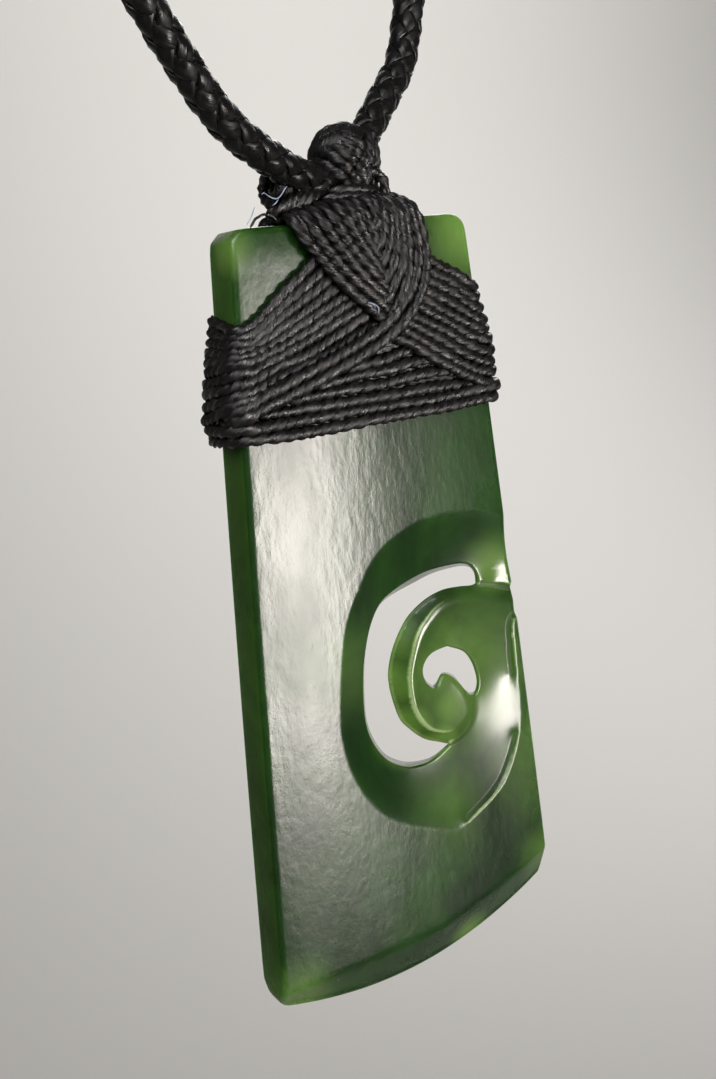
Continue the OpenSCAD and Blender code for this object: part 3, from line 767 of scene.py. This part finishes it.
# The two strands that edge the centre band and cross to the lower left: down the front, then on to the
# left. The last three places of the first part are the first three of the second
CROSSING_DOWN = [
    [(3.6, 15.5, 1.3), (3.2, 9.5, 1.7), (2.7, 6.5, 1.8), (2.9, 4.4, 1.8), (3.5, 2.4, 1.7), (4.1, 0.8, 1.6),
        (4.6, -0.8, 1.5), (4.8, -2.6, 1.5), (4.4, -4.5, 1.5), (3.5, -6.2, 1.5), (2.0, -7.7, 1.5)],
    [(4.4, 15.5, 1.2), (4.2, 9.5, 1.5), (3.7, 6.5, 1.5), (3.9, 4.2, 1.5), (4.4, 2.2, 1.4), (4.9, 0.6, 1.3),
        (5.4, -0.9, 1.2), (5.6, -2.8, 1.3), (5.3, -4.8, 1.4), (4.4, -6.7, 1.5), (2.8, -8.4, 1.5)]]
CROSSING_LEFT = [
    [(4.4, -4.5, 1.5), (3.5, -6.2, 1.5), (2.0, -7.7, 1.5), (0.3, -8.9, 1.45), (-2.3, -10.1, 1.4),
        (-5.5, -11.3, 1.35), (-8.4, -12.3, 1.35), (-11.0, -13.2, 1.4), (-21, -14.1, 1.5),
        (-21.4, -14.5, 0.8)],
    [(5.3, -4.8, 1.4), (4.4, -6.7, 1.5), (2.8, -8.4, 1.5), (0.7, -9.8, 1.45), (-2.0, -11.0, 1.4),
        (-5.3, -12.2, 1.35), (-8.2, -13.2, 1.35), (-10.9, -14.0, 1.4), (-21, -14.8, 1.5),
        (-21.4, -15.2, 0.8)]]
# The knot: its middle, the half sizes of its packed core, and its turns. Each group of turns lies on an
# egg and gives the first turn's number, the egg's half sizes, the turns' axis and offsets, and for the
# thread its half width, its groove, where on the turn it starts, and how flat it is pressed
KNOT_MIDDLE, KNOT_CORE = (0.9, 0, 4.5), (2.55, 2.25, 3.0)
KNOT_TURNS = [
    (70, (2.75, 2.45, 3.2), (0.70, 0, 0.71), (-0.86, -0.62, -0.36, -0.1, 0.16, 0.4),
        (0.6, PLY_GROOVE, 0.25, PRESSED)),
    (76, (2.95, 2.7, 3.2), (0.95, -0.2, -0.2), (0.5, 0.76), (0.55, PLY_GROOVE, 0.25, PRESSED)),
    (79, (2.65, 2.35, 3.0), (-0.25, 0.15, 0.95), (0.66, 0.88), (0.95, 0.04, 0.5, 0.62))]
# Wraps round the knot's waist: middle in x and z, half sizes in x and y, and tilt
WAIST_WRAPS = [(0.5, 1.7, 3.4, 2.7, 0.04), (0.7, 2.3, 2.9, 2.5, -0.06)]
TUCKED_END = [(1.7, -2.3, 3.4), (2.3, -2.6, 3.6), (2.9, -2.6, 3.0), (3.1, -2.6, 2.0), (2.8, -2.8, 1.0),
    (2.0, -3.1, 0.7), (1.1, -3.3, 1.0)]
# Turns round the cord's left root, x and z of their middles, and the places in x of the strands that
# tie them down, with the way that each of these takes from there
ROOT_TURNS = [(-6.1, 3.3), (-5.4, 3.1), (-4.6, 3.1), (-3.8, 3.2), (-3.0, 3.3)]
TIE_PLACES = (-2.6, -3.3, -4.1)
TIE_WAY = [(0, -1.5, 2.6), (-1.2, -2.0, 1.9), (-2.4, -1.8, 1.2), (-3.2, -0.9, 0.8)]
LOOSE_END = [(-9.3, -1.8, 0.0), (-8.9, -1.8, 0.5), (-8.4, -1.8, 0.8), (-7.8, -1.8, 0.9), (-7.2, -1.8, 0.7),
    (-6.8, -1.8, 0.1)]
# Loose fibres left of the knot and at the foot of the centre band, in millimetres
LINT = [[(-8.3, -2.4, 2.4), (-8.1, -2.4, 2.5), (-7.6, -2.3, 2.2), (-7.0, -2.2, 2.0), (-6.6, -2.3, 2.2),
        (-6.3, -2.4, 2.6), (-6.0, -2.4, 2.9)], [(-7.4, -2.3, 1.5), (-7.1, -2.4, 1.7), (-6.8, -2.3, 2.0)],
    [(-9.7, -2.0, 0.2), (-9.3, -2.1, 0.7), (-9.0, -2.0, 1.2), (-8.8, -1.9, 1.5)],
    [(-0.9, -4.5, -6.7), (-0.5, -4.6, -6.9), (-0.2, -4.5, -7.2)],
    [(-0.5, -4.5, -6.8), (0.0, -4.6, -7.2), (0.0, -4.5, -7.7)]]

# Edges of the thread slabs under the strands: u and z round the blade, then x and length over its top.
# Then the two slabs' lowest and highest place above the stone, and their rows and columns
UNDER_TOP = [(-2.999, -6.9), (-2, -7.2), (-1.5, -7.4), (-1, -7.8), (-0.86, -7.7), (-0.42, -4.2),
    (-0.3, -3.2), (0, -2.4), (0.3, -2.4), (0.6, -4.2), (0.8, -5.2), (1, -6.7), (1.5, -6.6), (2, -6.5),
    (2.999, -6.9)]
UNDER_LOW = [(-2.999, -16.5), (-2, -16.6), (-1.5, -16.6), (-1, -16.6), (-0.86, -16.6), (-0.42, -16.6),
    (-0.3, -16.6), (0, -16.5), (0.3, -16.5), (0.6, -16.4), (0.8, -16.4), (1, -16.3), (1.5, -16.3),
    (2, -16.3), (2.999, -16.5)]
UNDER_LEFT = [(1.4, -8.7), (0.0, -7.0), (-2.2, -5.0), (-4.1, -2.6), (-5.6, -0.6), (-5.9, 1.2),
    (-5.7, 4.0), (-5.5, 7.5), (-5.1, 14.5)]
UNDER_RIGHT = [(1.9, -8.3), (3.0, -6.9), (4.2, -4.8), (5.0, -2.5), (5.0, -0.6), (4.5, 1.2), (3.8, 4.0),
    (3.8, 7.5), (4.2, 14.5)]
UNDER_ROUND, UNDER_CENTRE = (0.04, 0.3, 140, 16), (0.04, 1.1, 90, 24)


def thread(path, facing, number):
    """One strand of the lashing's own thread."""
    t = sizes("lashing")
    return strand(path, facing, t.thread / 2, t.twist, t.step, number)


def wrapped(keys, count, seed, number):
    """The given count of strands that lie round the blade, from the first one's number on. Past the
    back's middle they go on from its other side."""
    made = []
    for k, line in enumerate(guides(keys, count, seed, True)):
        u, z, lift = line.T
        met = np.where(np.abs(u) > 3, -np.sign(u) * (6 - np.abs(u)), u)
        made.append(thread(*around(met, z, lift), number + k))
    return made


def draped(keys, count, seed, number):
    """The given count of strands over the blade's top edge, from the first one's number on."""
    return [thread(*over(*line.T), number + k)
        for k, line in enumerate(guides(keys, count, seed, False))]


def crossed(downs, lefts, number):
    """Strands that come over the top edge, go down the front and turn to the left edge, each in one
    length. The two parts meet at the middle one of the three places that they share."""
    made = []
    for k, (down, left) in enumerate(zip(downs, lefts)):
        upper = [half[:-PARTS] for half in over(*smooth(down, PARTS).T)]
        lower = [half[PARTS + 1:] for half in around(*smooth(unrolled(left), PARTS).T)]
        made.append(thread(*(np.vstack(halves) for halves in zip(upper, lower)), number + k))
    return made


def under_layer(surface, left, right, low, high, rows, columns):
    """A closed slab between two heights above the stone. Its face runs from the left line to the right
    line, each a list of guide points, and its ring of rows goes out along the upper face and back along
    the lower."""
    a, b = (even(smooth(np.asarray(line, float), 8), 0.1) for line in (left, right))
    pick = np.linspace(0, 1, rows)
    a, b = (np.column_stack([np.interp(pick * (len(line) - 1), np.arange(len(line)), column)
        for column in line.T]) for line in (a, b))
    share = np.linspace(0, 1, columns)[None, :, None]
    sheet = (a[:, None] * (1 - share) + b[:, None] * share).reshape(-1, 2)
    top, foot = (surface(*sheet.T, np.full(len(sheet), lift))[0].reshape(rows, columns, 3)
        for lift in (high, low))
    points = np.hstack([top, foot[:, ::-1]]).reshape(-1, 3)
    m = 2 * columns
    quads = tube_faces(rows, m)[0][:, [0, 3, 2, 1]]
    q = np.arange(columns - 1)
    near = np.column_stack([q, q + 1, m - 2 - q, m - 1 - q])
    far = near[:, ::-1] + (rows - 1) * m
    return points, np.vstack([quads, near, far]), np.zeros((0, 3), int), points


def on_knot(centre, radii, axis, offset, radius, number, groove=PLY_GROOVE, start=0.5, flat=PRESSED):
    """One turn of thread on an egg-shaped knot: the circle where a plane across the axis cuts it.
    Offset is the plane's distance from the middle, as a share of the egg's radius."""
    t = sizes("lashing")
    n = unit(np.array(axis, float))
    first = unit(np.cross(n, [0.1, 1, 0.05]))
    second = np.cross(n, first)
    a = 2 * np.pi * (start + np.linspace(0, 1, 90))[:, None]
    ball = offset * n + math.sqrt(1 - offset**2) * (np.cos(a) * first + np.sin(a) * second)
    return strand(np.array(centre) + ball * radii, unit(ball / radii), radius, t.twist, t.step, number,
        groove, flat)


def knot_core(centre, radii):
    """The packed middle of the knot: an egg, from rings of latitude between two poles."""
    rows, m = 14, 24
    lat = np.linspace(-np.pi / 2, np.pi / 2, rows + 2)[1:-1, None]
    lon = (2 * np.pi * np.arange(m) / m)[None]
    ball = np.stack([np.cos(lat) * np.cos(lon), np.cos(lat) * np.sin(lon), np.sin(lat) + 0 * lon], -1)
    points = np.vstack([ball.reshape(-1, 3), [[0, 0, -1], [0, 0, 1]]]) * radii + centre
    return points, *tube_faces(rows, m), points


def free_strand(points, radius, number):
    """A round strand through points in space, given in millimetres."""
    path = smooth(points, PARTS)
    return strand(path, np.broadcast_to(FREE_FACING, path.shape), radius, sizes("lashing").twist,
        FREE_STEP, number, flat=1)


def plait():
    """Strands of the neck cord: four run clockwise and four the other way round the middle line, each
    rising over one and falling under the next four times a turn. Their rings stand closer near the
    knot."""
    c = sizes("cord")
    level, height = smooth(CORD_ROUTE, 12).T
    route = np.column_stack([level * math.cos(LOOP_TURN), level * math.sin(LOOP_TURN), height])
    run = run_along(route)
    near = np.arange(0, c.near, c.step)
    far = np.linspace(c.near, run[-1] - c.near, int((run[-1] - 2 * c.near) / c.far_step))
    s = np.concatenate([near, far, run[-1] - near[::-1]])
    route = np.column_stack([np.interp(s, run, column) for column in route.T])
    normal = np.array([-math.sin(LOOP_TURN), math.cos(LOOP_TURN), 0])
    across = np.cross(normal, unit(np.gradient(route, axis=0)))
    made = []
    for k in range(8):
        way = 1 if k < 4 else -1
        turn = way * 2 * np.pi * s / c.plait + np.pi / 2 * (k % 4)
        r = c.core + way * c.weave * np.cos(8 * np.pi * s / c.plait)
        out = np.cos(turn)[:, None] * across + np.sin(turn)[:, None] * normal
        made.append(strand(route + r[:, None] * out, out, c.strand, UNTWISTED, None, 60 + k, 0,
            c.flat / c.strand, 10))
    return made


# Patterns of thread and plait. Their coordinates, the fibre attribute, are in millimetres
FILAMENTS = (0.6, 9.0, 9.0)  # 0.11 mm across, coarser than real ones so that they show, and 1.7 mm long
WAX_PATCHES = 1.3  # 0.8 mm across
RELIEF_DEPTH = 0.00012  # metres


def waxed_thread(name, body, pale, relief=0.6, shine=0.85):
    """Waxed polyester thread: near-black plies of fine filaments. The wax lies unevenly, so that some
    places shine in small bright glints and others stay dull."""
    material, tree, shader = new_material(name)
    fibre = node(tree, "ShaderNodeAttribute", attribute_name="fibre").outputs["Vector"]
    drawn = node(tree, "ShaderNodeVectorMath", {0: fibre, 1: FILAMENTS}, operation="MULTIPLY")
    filaments = node(tree, "ShaderNodeTexNoise", {"Vector": drawn.outputs[0], "Scale": 1.0, "Detail": 3.0})
    wax = node(tree, "ShaderNodeTexNoise", {"Vector": fibre, "Scale": WAX_PATCHES, "Detail": 2.0})
    mix = node(tree, "ShaderNodeMix", {0: filaments.outputs[0], 6: (*body, 1), 7: (*pale, 1)},
        data_type="RGBA")
    gloss = node(tree, "ShaderNodeMapRange", {0: wax.outputs[0], 1: 0.38, 2: 0.62, 3: 0.2, 4: 0.5})
    bump = node(tree, "ShaderNodeBump", {"Height": filaments.outputs[0], "Strength": relief,
        "Distance": RELIEF_DEPTH})
    tree.links.new(mix.outputs[2], shader.inputs["Base Color"])
    tree.links.new(gloss.outputs[0], shader.inputs["Roughness"])
    tree.links.new(bump.outputs[0], shader.inputs["Normal"])
    shader.inputs["Specular IOR Level"].default_value = shine
    return material


# Patterns of the stone: how many of each fit in a metre
CLOUDS = 75.0  # 13 mm across
POLISH_PATCHES = 200.0  # 5 mm across
SCRATCHES = 1500.0  # 0.7 mm across, coarser than real ones so that they show
DIMPLES = 620.0  # 1.6 mm across
ALONG_BLADE = (1.0, 1.0, 0.4)  # draws patches and scratches out along the blade
GRAIN_DEPTH = 0.00002  # metres
# Ranges that the stone's finish reads: carved depth in millimetres where the face turns into carving,
# and the sideways share of the normal where it turns into a narrow side
CARVED = {1: 0.02, 2: 0.3}
NARROW = {1: 0.8, 2: 0.95}
# Places where the blade is painted paler, in millimetres in its own frame, how far each reaches and how
# pale it is. The lime patch by the ledge is paler stone; the rest are painted light: a glow through the
# thin carving and the corners, a sheen left of the carving, glints on the bevel and a brightening of the
# flank where it lies in shade
PALE_AND_PAINTED_LIGHT_PLACES = [((11.2, -2, -31.6), 4.2, 0.8), ((13.9, 0, -60.5), 4.4, 0.8), ((5.4, -1, -66.4), 3, 0.7),
    ((-11.6, -1, -1.6), 3.2, 1), ((11, 0, -1.2), 6.5, 1.3), ((-0.4, -1, -40.5), 4.4, 1.1),
    ((6.6, -2, -41), 11, 0.8), ((1.2, -1, -36.6), 3.6, 0.8), ((0.6, -1, -44.6), 4.4, 1.6),
    ((3.8, -1, -46.2), 3.6, 1.4), ((5.2, -2, -43.4), 4, 1.1), ((14.5, -2, -51), 9, 0.4),
    ((4, -1, -52.4), 6.5, 0.4), ((-5.4, -1, -37.5), 6, 0.3), ((-13.2, -1, -65.4), 5, 0.6)]


def nearness(tree, place, centre, reach, strength):
    """The strength at a centre in the blade's frame, in millimetres, fading to nothing at its reach."""
    x, y, z = centre
    away = node(tree, "ShaderNodeVectorMath", {0: place, 1: (x / 1000, y / 1000, (z - DROP) / 1000)},
        operation="DISTANCE")
    return node(tree, "ShaderNodeMapRange", {0: away.outputs["Value"], 1: reach / 1000, 2: 0.0, 3: 0.0,
        4: strength}, interpolation_type="SMOOTHSTEP").outputs[0]


def polished_nephrite():
    """Nephrite, ground and polished by hand: deep green with clouds and short fibres. Light through the
    stone
    is painted in: the stone is painted paler where it is thin and on the narrow sides, a painted glow, and
    at listed places, one of them paler stone and the rest painted glow, sheen and glints; the thin crests
    of the carving get a painted highlight. The flat faces keep a fine grain of scratches that breaks up
    the gloss, and their polish is a little uneven. The carving is smoother, but the polish does not reach
    into its inner corners. The narrow sides are left matt."""
    finish = bpy.context.scene.pendant_finishes
    material, tree, shader = new_material("polished_nephrite")
    place = node(tree, "ShaderNodeTexCoord").outputs["Object"]
    depth = node(tree, "ShaderNodeAttribute", attribute_name="carved_depth").outputs["Fac"]
    clouds = node(tree, "ShaderNodeTexNoise", {"Vector": place, "Scale": CLOUDS, "Detail": 5.0,
        "Roughness": 0.6, "Distortion": 0.6})
    cloudy = node(tree, "ShaderNodeMapRange", {0: clouds.outputs[0], 1: 0.36, 2: 0.66})
    body = node(tree, "ShaderNodeMix", {0: cloudy.outputs[0], 6: (*finish.stone_deep, 1),
        7: (*finish.stone, 1)}, data_type="RGBA")
    # Painted glow: the deepest carving, where the stone is thin, is painted paler as if light came through
    # it
    pale = node(tree, "ShaderNodeMapRange", {0: depth, 1: 1.35, 2: 2.1, 3: 0.0, 4: 0.55},
        interpolation_type="SMOOTHSTEP").outputs[0]
    facing = node(tree, "ShaderNodeSeparateXYZ", {0: node(tree, "ShaderNodeTexCoord").outputs["Normal"]})
    sideways = node(tree, "ShaderNodeMath", {0: facing.outputs[0]}, operation="ABSOLUTE").outputs[0]
    # Painted glow on the narrow sides, standing in for light that comes out through the stone
    side = node(tree, "ShaderNodeMapRange", {0: sideways, **NARROW, 3: 0.0, 4: 0.22}).outputs[0]
    # Paler stone at the lime patch; painted glow, sheen and glints at the other listed places, and on the
    # narrow sides
    for other in [nearness(tree, place, *spot) for spot in PALE_AND_PAINTED_LIGHT_PLACES] + [side]:
        pale = node(tree, "ShaderNodeMath", {0: pale, 1: other}, operation="MAXIMUM").outputs[0]
    clouded_pale_and_glow = node(tree, "ShaderNodeMath", {0: pale, 1: clouds.outputs[0]}, operation="MULTIPLY")
    pale_and_glow_share = node(tree, "ShaderNodeMath", {0: clouded_pale_and_glow.outputs[0], 1: 1.7}, operation="MULTIPLY",
        use_clamp=True)
    mix = node(tree, "ShaderNodeMix", {0: pale_and_glow_share.outputs[0], 6: body.outputs[2],
        7: (*finish.bright_stone_and_glow, 1)}, data_type="RGBA")
    # Painted highlight on the crests: where the carving stands above its surroundings it is mixed towards
    # the pale crest colour
    crest = node(tree, "ShaderNodeAttribute", attribute_name="crest").outputs["Fac"]
    crest_highlight = node(tree, "ShaderNodeMapRange", {0: crest, 1: 0.01, 2: 0.035, 3: 0.0, 4: 0.7})
    mix = node(tree, "ShaderNodeMix", {0: crest_highlight.outputs[0], 6: mix.outputs[2], 7: (*finish.crest_highlight_tint, 1)},
        data_type="RGBA")
    drawn = node(tree, "ShaderNodeVectorMath", {0: place, 1: ALONG_BLADE}, operation="MULTIPLY").outputs[0]
    scratches = node(tree, "ShaderNodeTexNoise", {"Vector": drawn, "Scale": SCRATCHES, "Detail": 3.0})
    dimples = node(tree, "ShaderNodeTexNoise", {"Vector": place, "Scale": DIMPLES, "Detail": 4.0,
        "Roughness": 0.65})
    grain = node(tree, "ShaderNodeMath", {0: scratches.outputs[0], 1: dimples.outputs[0]}, operation="ADD")
    flat = node(tree, "ShaderNodeMapRange", {0: depth, **CARVED, 3: 1.0, 4: 0.12})
    bump = node(tree, "ShaderNodeBump", {"Strength": flat.outputs[0], "Height": grain.outputs[0],
        "Distance": GRAIN_DEPTH})
    patches = node(tree, "ShaderNodeTexNoise", {"Vector": drawn, "Scale": POLISH_PATCHES, "Detail": 3.0})
    face = node(tree, "ShaderNodeMapRange", {0: patches.outputs[0], 1: 0.3, 2: 0.7, 3: 0.22, 4: 0.3},
        interpolation_type="SMOOTHSTEP")
    polish = node(tree, "ShaderNodeMapRange", {0: depth, **CARVED, 3: face.outputs[0], 4: 0.19})
    corners = node(tree, "ShaderNodeMapRange", {0: crest, 1: -0.003, 2: -0.012, 3: 0.0, 4: 0.6})
    rough = node(tree, "ShaderNodeMath", {0: polish.outputs[0], 1: corners.outputs[0]}, operation="ADD")
    gloss = node(tree, "ShaderNodeMapRange", {0: sideways, **NARROW, 3: 0.5, 4: 0.02})
    tree.links.new(gloss.outputs[0], shader.inputs["Specular IOR Level"])
    tree.links.new(mix.outputs[2], shader.inputs["Base Color"])
    tree.links.new(rough.outputs[0], shader.inputs["Roughness"])
    tree.links.new(bump.outputs[0], shader.inputs["Normal"])
    shader.inputs["IOR"].default_value = 1.62
    shader.inputs["Subsurface Weight"].default_value = 1.0
    shader.inputs["Subsurface Radius"].default_value = (0.55, 1.0, 0.3)
    shader.inputs["Subsurface Scale"].default_value = 0.003
    return material


# The camera: its sensor in millimetres, its focal length and the frame's height in pixels of the
# photograph, its place in the blade's frame, and how far it goes round the blade, rises and rolls, in
# degrees
SENSOR, FOCAL_LENGTH, FRAME_HEIGHT = 36, 1200, 1079
CAMERA_PLACE, CAMERA_TURNS = (-53.12, -88.77, -6.07), (-30.14, 11.44, -6.11)
# The floor in metres: it runs level from its front edge, bends up in a quarter circle and rises to its
# top
FLOOR_FRONT, FLOOR_HEIGHT, BEND_START, BEND_RADIUS, FLOOR_TOP, FLOOR_SIDE = -4.0, -1.3, 1.4, 1.8, 4.0, 5.0


def soft_box(name, place, target, width, height, watts, tint=(1, 1, 1), spread=180, lean=0):
    """A rectangular soft light, in millimetres in the blade's frame, that shines at a target. It may
    lean."""
    lamp = bpy.data.lights.new(name, "AREA")
    lamp.spread = math.radians(spread)
    lamp.shape, lamp.size, lamp.size_y, lamp.energy = "RECTANGLE", width / 1000, height / 1000, watts
    lamp.color = tint
    light = bpy.data.objects.new(name, lamp)
    bpy.context.scene.collection.objects.link(light)
    place = np.array(place, float)
    back = unit(place - target)
    right = unit(np.cross([0, 0, 1], back))
    turn = Matrix(np.column_stack([right, np.cross(back, right), back]).tolist()).to_4x4()
    turn = turn @ Matrix.Rotation(math.radians(lean), 4, "Z")
    turn.translation = (place - [0, 0, DROP]) / 1000
    light.matrix_world = turn
    light.visible_camera = False


def put_camera():
    """The camera at the photograph's place: it looks ahead along its azimuth and elevation, and its
    level and upright directions are rolled round that."""
    data = bpy.data.cameras.new("camera")
    data.sensor_width = SENSOR
    data.lens = SENSOR * FOCAL_LENGTH / FRAME_HEIGHT
    data.clip_start, data.clip_end = 0.005, 20
    camera = bpy.data.objects.new("camera", data)
    bpy.context.scene.collection.objects.link(camera)
    azimuth, elevation, roll = np.radians(CAMERA_TURNS)
    level = np.array([math.cos(azimuth), math.sin(azimuth), 0])
    ahead = np.array([-math.sin(azimuth) * math.cos(elevation), math.cos(azimuth) * math.cos(elevation),
        -math.sin(elevation)])
    upright = np.cross(level, ahead)
    right = math.cos(roll) * level + math.sin(roll) * upright
    up = math.cos(roll) * upright - math.sin(roll) * level
    turn = Matrix(np.column_stack([right, up, -ahead]).tolist()).to_4x4()
    turn.translation = (np.array(CAMERA_PLACE) - [0, 0, DROP]) / 1000
    camera.matrix_world = turn
    bpy.context.scene.camera = camera


def put_floor():
    """The studio floor: a level, a quarter circle and a rise, carried from side to side."""
    bend = np.linspace(0, math.pi / 2, 25)
    bent = np.column_stack([np.sin(bend), 1 - np.cos(bend)]) * BEND_RADIUS + (BEND_START, FLOOR_HEIGHT)
    profile = np.vstack([(FLOOR_FRONT, FLOOR_HEIGHT), bent, (BEND_START + BEND_RADIUS, FLOOR_TOP)])
    count = len(profile)
    points = np.vstack([np.column_stack([np.full(count, x), profile]) for x in (-FLOOR_SIDE, FLOOR_SIDE)])
    mesh = bpy.data.meshes.new("studio_floor")
    quads = [(i, i + count, i + count + 1, i + 1) for i in range(count - 1)]
    mesh.from_pydata(points.tolist(), [], quads)
    mesh.polygons.foreach_set("use_smooth", [True] * (count - 1))
    floor = bpy.data.objects.new("studio_floor", mesh)
    bpy.context.scene.collection.objects.link(floor)
    material, _, shader = new_material("matt_studio_paper")
    shader.inputs["Base Color"].default_value = (*bpy.context.scene.pendant_finishes.floor, 1)
    shader.inputs["Roughness"].default_value = 0.9
    mesh.materials.append(material)


class PENDANT_OT_stage(bpy.types.Operator):
    """Makes the camera at the photograph's angle, the studio floor and the soft lights"""
    bl_idname = "pendant.stage"
    bl_label = "Stage"

    def execute(self, context):
        scene, settings = context.scene, context.scene.pendant_stage
        put_camera()
        soft_box("low_soft_box", (158, -452, -124), (0, 0, -25), 108, 228, settings.glare,
            tint=(1, 0.93, 0.88), spread=70, lean=-5)
        soft_box("high_soft_box", (-300, -420, 350), (0, 0, 0), 400, 400, settings.fill, spread=90)
        soft_box("back_soft_box", (380, 420, 260), (0, 0, -30), 400, 300, settings.back)
        soft_box("overhead_soft_box", (1600, 530, 2000), (2200, 2370, 300), 2000, 700, settings.backdrop,
            spread=140)
        world = bpy.data.worlds.new("studio")
        world.use_nodes = True
        sky = world.node_tree.nodes["Background"]
        sky.inputs["Color"].default_value = (1, 1, 1, 1)
        sky.inputs["Strength"].default_value = settings.sky
        scene.world = world
        scene.view_settings.view_transform = "Standard"
        put_floor()
        return {"FINISHED"}


class PENDANT_OT_blade(bpy.types.Operator):
    """Builds the carved greenstone blade"""
    bl_idname = "pendant.blade"
    bl_label = "Greenstone blade"

    def execute(self, context):
        points, tri, quads, depth, crest = carved_blade()
        piece = put_mesh("carved_greenstone", points, [tri, quads],
            {"carved_depth": depth, "crest": crest}, polished_nephrite())
        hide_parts("greenstone_blade")
        return {"FINISHED"}


class PENDANT_OT_lashing(bpy.types.Operator):
    """Lays the waxed thread round the top of the blade, band by band"""
    bl_idname = "pendant.lashing"
    bl_label = "Thread lashing"

    def execute(self, context):
        finish = context.scene.pendant_finishes
        black = waxed_thread("waxed_thread", finish.thread, finish.thread_pale)
        put_strands("level_wraps", wrapped(LEVEL_LOOPS, 2, 1, 0) + wrapped(LEVEL_SHORT, 4, 2, 2)
            + [under_layer(around, UNDER_TOP, UNDER_LOW, *UNDER_ROUND)], black, ["lower_wraps"])
        put_strands("left_fan", wrapped(LEFT_FAN, 10, 3, 6), black, ["left_diagonal_band"])
        put_strands("right_fan", wrapped(RIGHT_FAN, 10, 4, 16), black, ["right_diagonal_band"])
        put_strands("back_wraps", wrapped(BACK_WRAPS, 10, 5, 26), black, ["back_band"])
        put_strands("centre_chevron", draped(CENTRE_LEFT, 7, 6, 36) + draped(CENTRE_RIGHT, 6, 7, 43)
            + [under_layer(over, UNDER_LEFT, UNDER_RIGHT, *UNDER_CENTRE)], black, ["centre_band"])
        put_strands("crossing_strands", crossed(CROSSING_DOWN, CROSSING_LEFT, 50), black,
            ["crossing_strand"])
        return {"FINISHED"}


class PENDANT_OT_knot(bpy.types.Operator):
    """Ties the knot that gathers the cord's two ends on top of the lashing"""
    bl_idname = "pendant.knot"
    bl_label = "Top knot"

    def execute(self, context):
        finish = context.scene.pendant_finishes
        black = waxed_thread("knotted_thread", finish.thread, finish.thread_pale)
        turns = [knot_core(KNOT_MIDDLE, KNOT_CORE)]
        for first, egg, axis, offsets, (half, groove, start, flat) in KNOT_TURNS:
            turns += [on_knot(KNOT_MIDDLE, egg, axis, offset, half, first + i, groove, start, flat)
                for i, offset in enumerate(offsets)]
        put_strands("top_knot_turns", turns, black, ["top_knot"])
        collar = [on_knot((x, 0, z), (rx, ry, 1.0), (tilt, 0.12, 1), 0, 0.5, 82 + i)
            for i, (x, z, rx, ry, tilt) in enumerate(WAIST_WRAPS)]
        collar += [free_strand(TUCKED_END, 0.46, 85)]
        collar += [on_knot((x, -0.1, z), (0.6, 1.75, 1.75), (-0.8, 0.1, 0.6), 0, 0.5, 86 + i)
            for i, (x, z) in enumerate(ROOT_TURNS)]
        collar += [free_strand(np.array(TIE_WAY) + [x, 0, 0], 0.55, 91 + i)
            for i, x in enumerate(TIE_PLACES)]
        collar += [free_strand(LOOSE_END, 0.13, 94)]
        put_strands("collar_turns", collar, black, ["knot_wraps"])
        lint = waxed_thread("loose_fibres", finish.lint, finish.lint)
        put_strands("loose_fibres", [free_strand(way, 0.05, 95 + i) for i, way in enumerate(LINT)],
            lint, [])
        return {"FINISHED"}


class PENDANT_OT_cord(bpy.types.Operator):
    """Plaits the neck cord along its loop"""
    bl_idname = "pendant.cord"
    bl_label = "Plaited neck cord"

    def execute(self, context):
        finish = context.scene.pendant_finishes
        waxed = waxed_thread("plaited_polyester", finish.cord, finish.cord_pale, 0.3, 0.5)
        put_strands("plaited_cord", plait(), waxed, ["neck_cord"])
        return {"FINISHED"}


class PENDANT_PT_panel(bpy.types.Panel):
    """Lists the pendant's operators and settings"""
    bl_label = "Greenstone pendant"
    bl_idname = "PENDANT_PT_panel"
    bl_space_type = "VIEW_3D"
    bl_region_type = "UI"
    bl_category = "Pendant"

    def draw(self, context):
        for operator in OPERATORS:
            self.layout.operator(operator.bl_idname)
        for name, kind in GROUPS.items():
            group = getattr(context.scene, name)
            for key in kind.__annotations__:
                self.layout.prop(group, key)


GROUPS = {"pendant_blade": BladeSizes, "pendant_lashing": LashingSizes, "pendant_cord": CordSizes,
    "pendant_finishes": Finishes, "pendant_stage": StageSettings}
OPERATORS = [PENDANT_OT_stage, PENDANT_OT_blade, PENDANT_OT_lashing,
    PENDANT_OT_knot, PENDANT_OT_cord]


def register():
    """Adds the settings, the operators and the panel to Blender."""
    for kind in [*GROUPS.values(), *OPERATORS, PENDANT_PT_panel]:
        bpy.utils.register_class(kind)
    for name, kind in GROUPS.items():
        setattr(bpy.types.Scene, name, bpy.props.PointerProperty(type=kind))


def unregister():
    """Takes them out again."""
    for name in GROUPS:
        delattr(bpy.types.Scene, name)
    for kind in [PENDANT_PT_panel, *reversed(OPERATORS), *reversed(GROUPS.values())]:
        bpy.utils.unregister_class(kind)


def main():
    """Makes the stage and every piece."""
    register()
    bpy.ops.pendant.stage()
    bpy.ops.pendant.blade()
    bpy.ops.pendant.lashing()
    bpy.ops.pendant.knot()
    bpy.ops.pendant.cord()


if __name__ == "__main__":
    main()
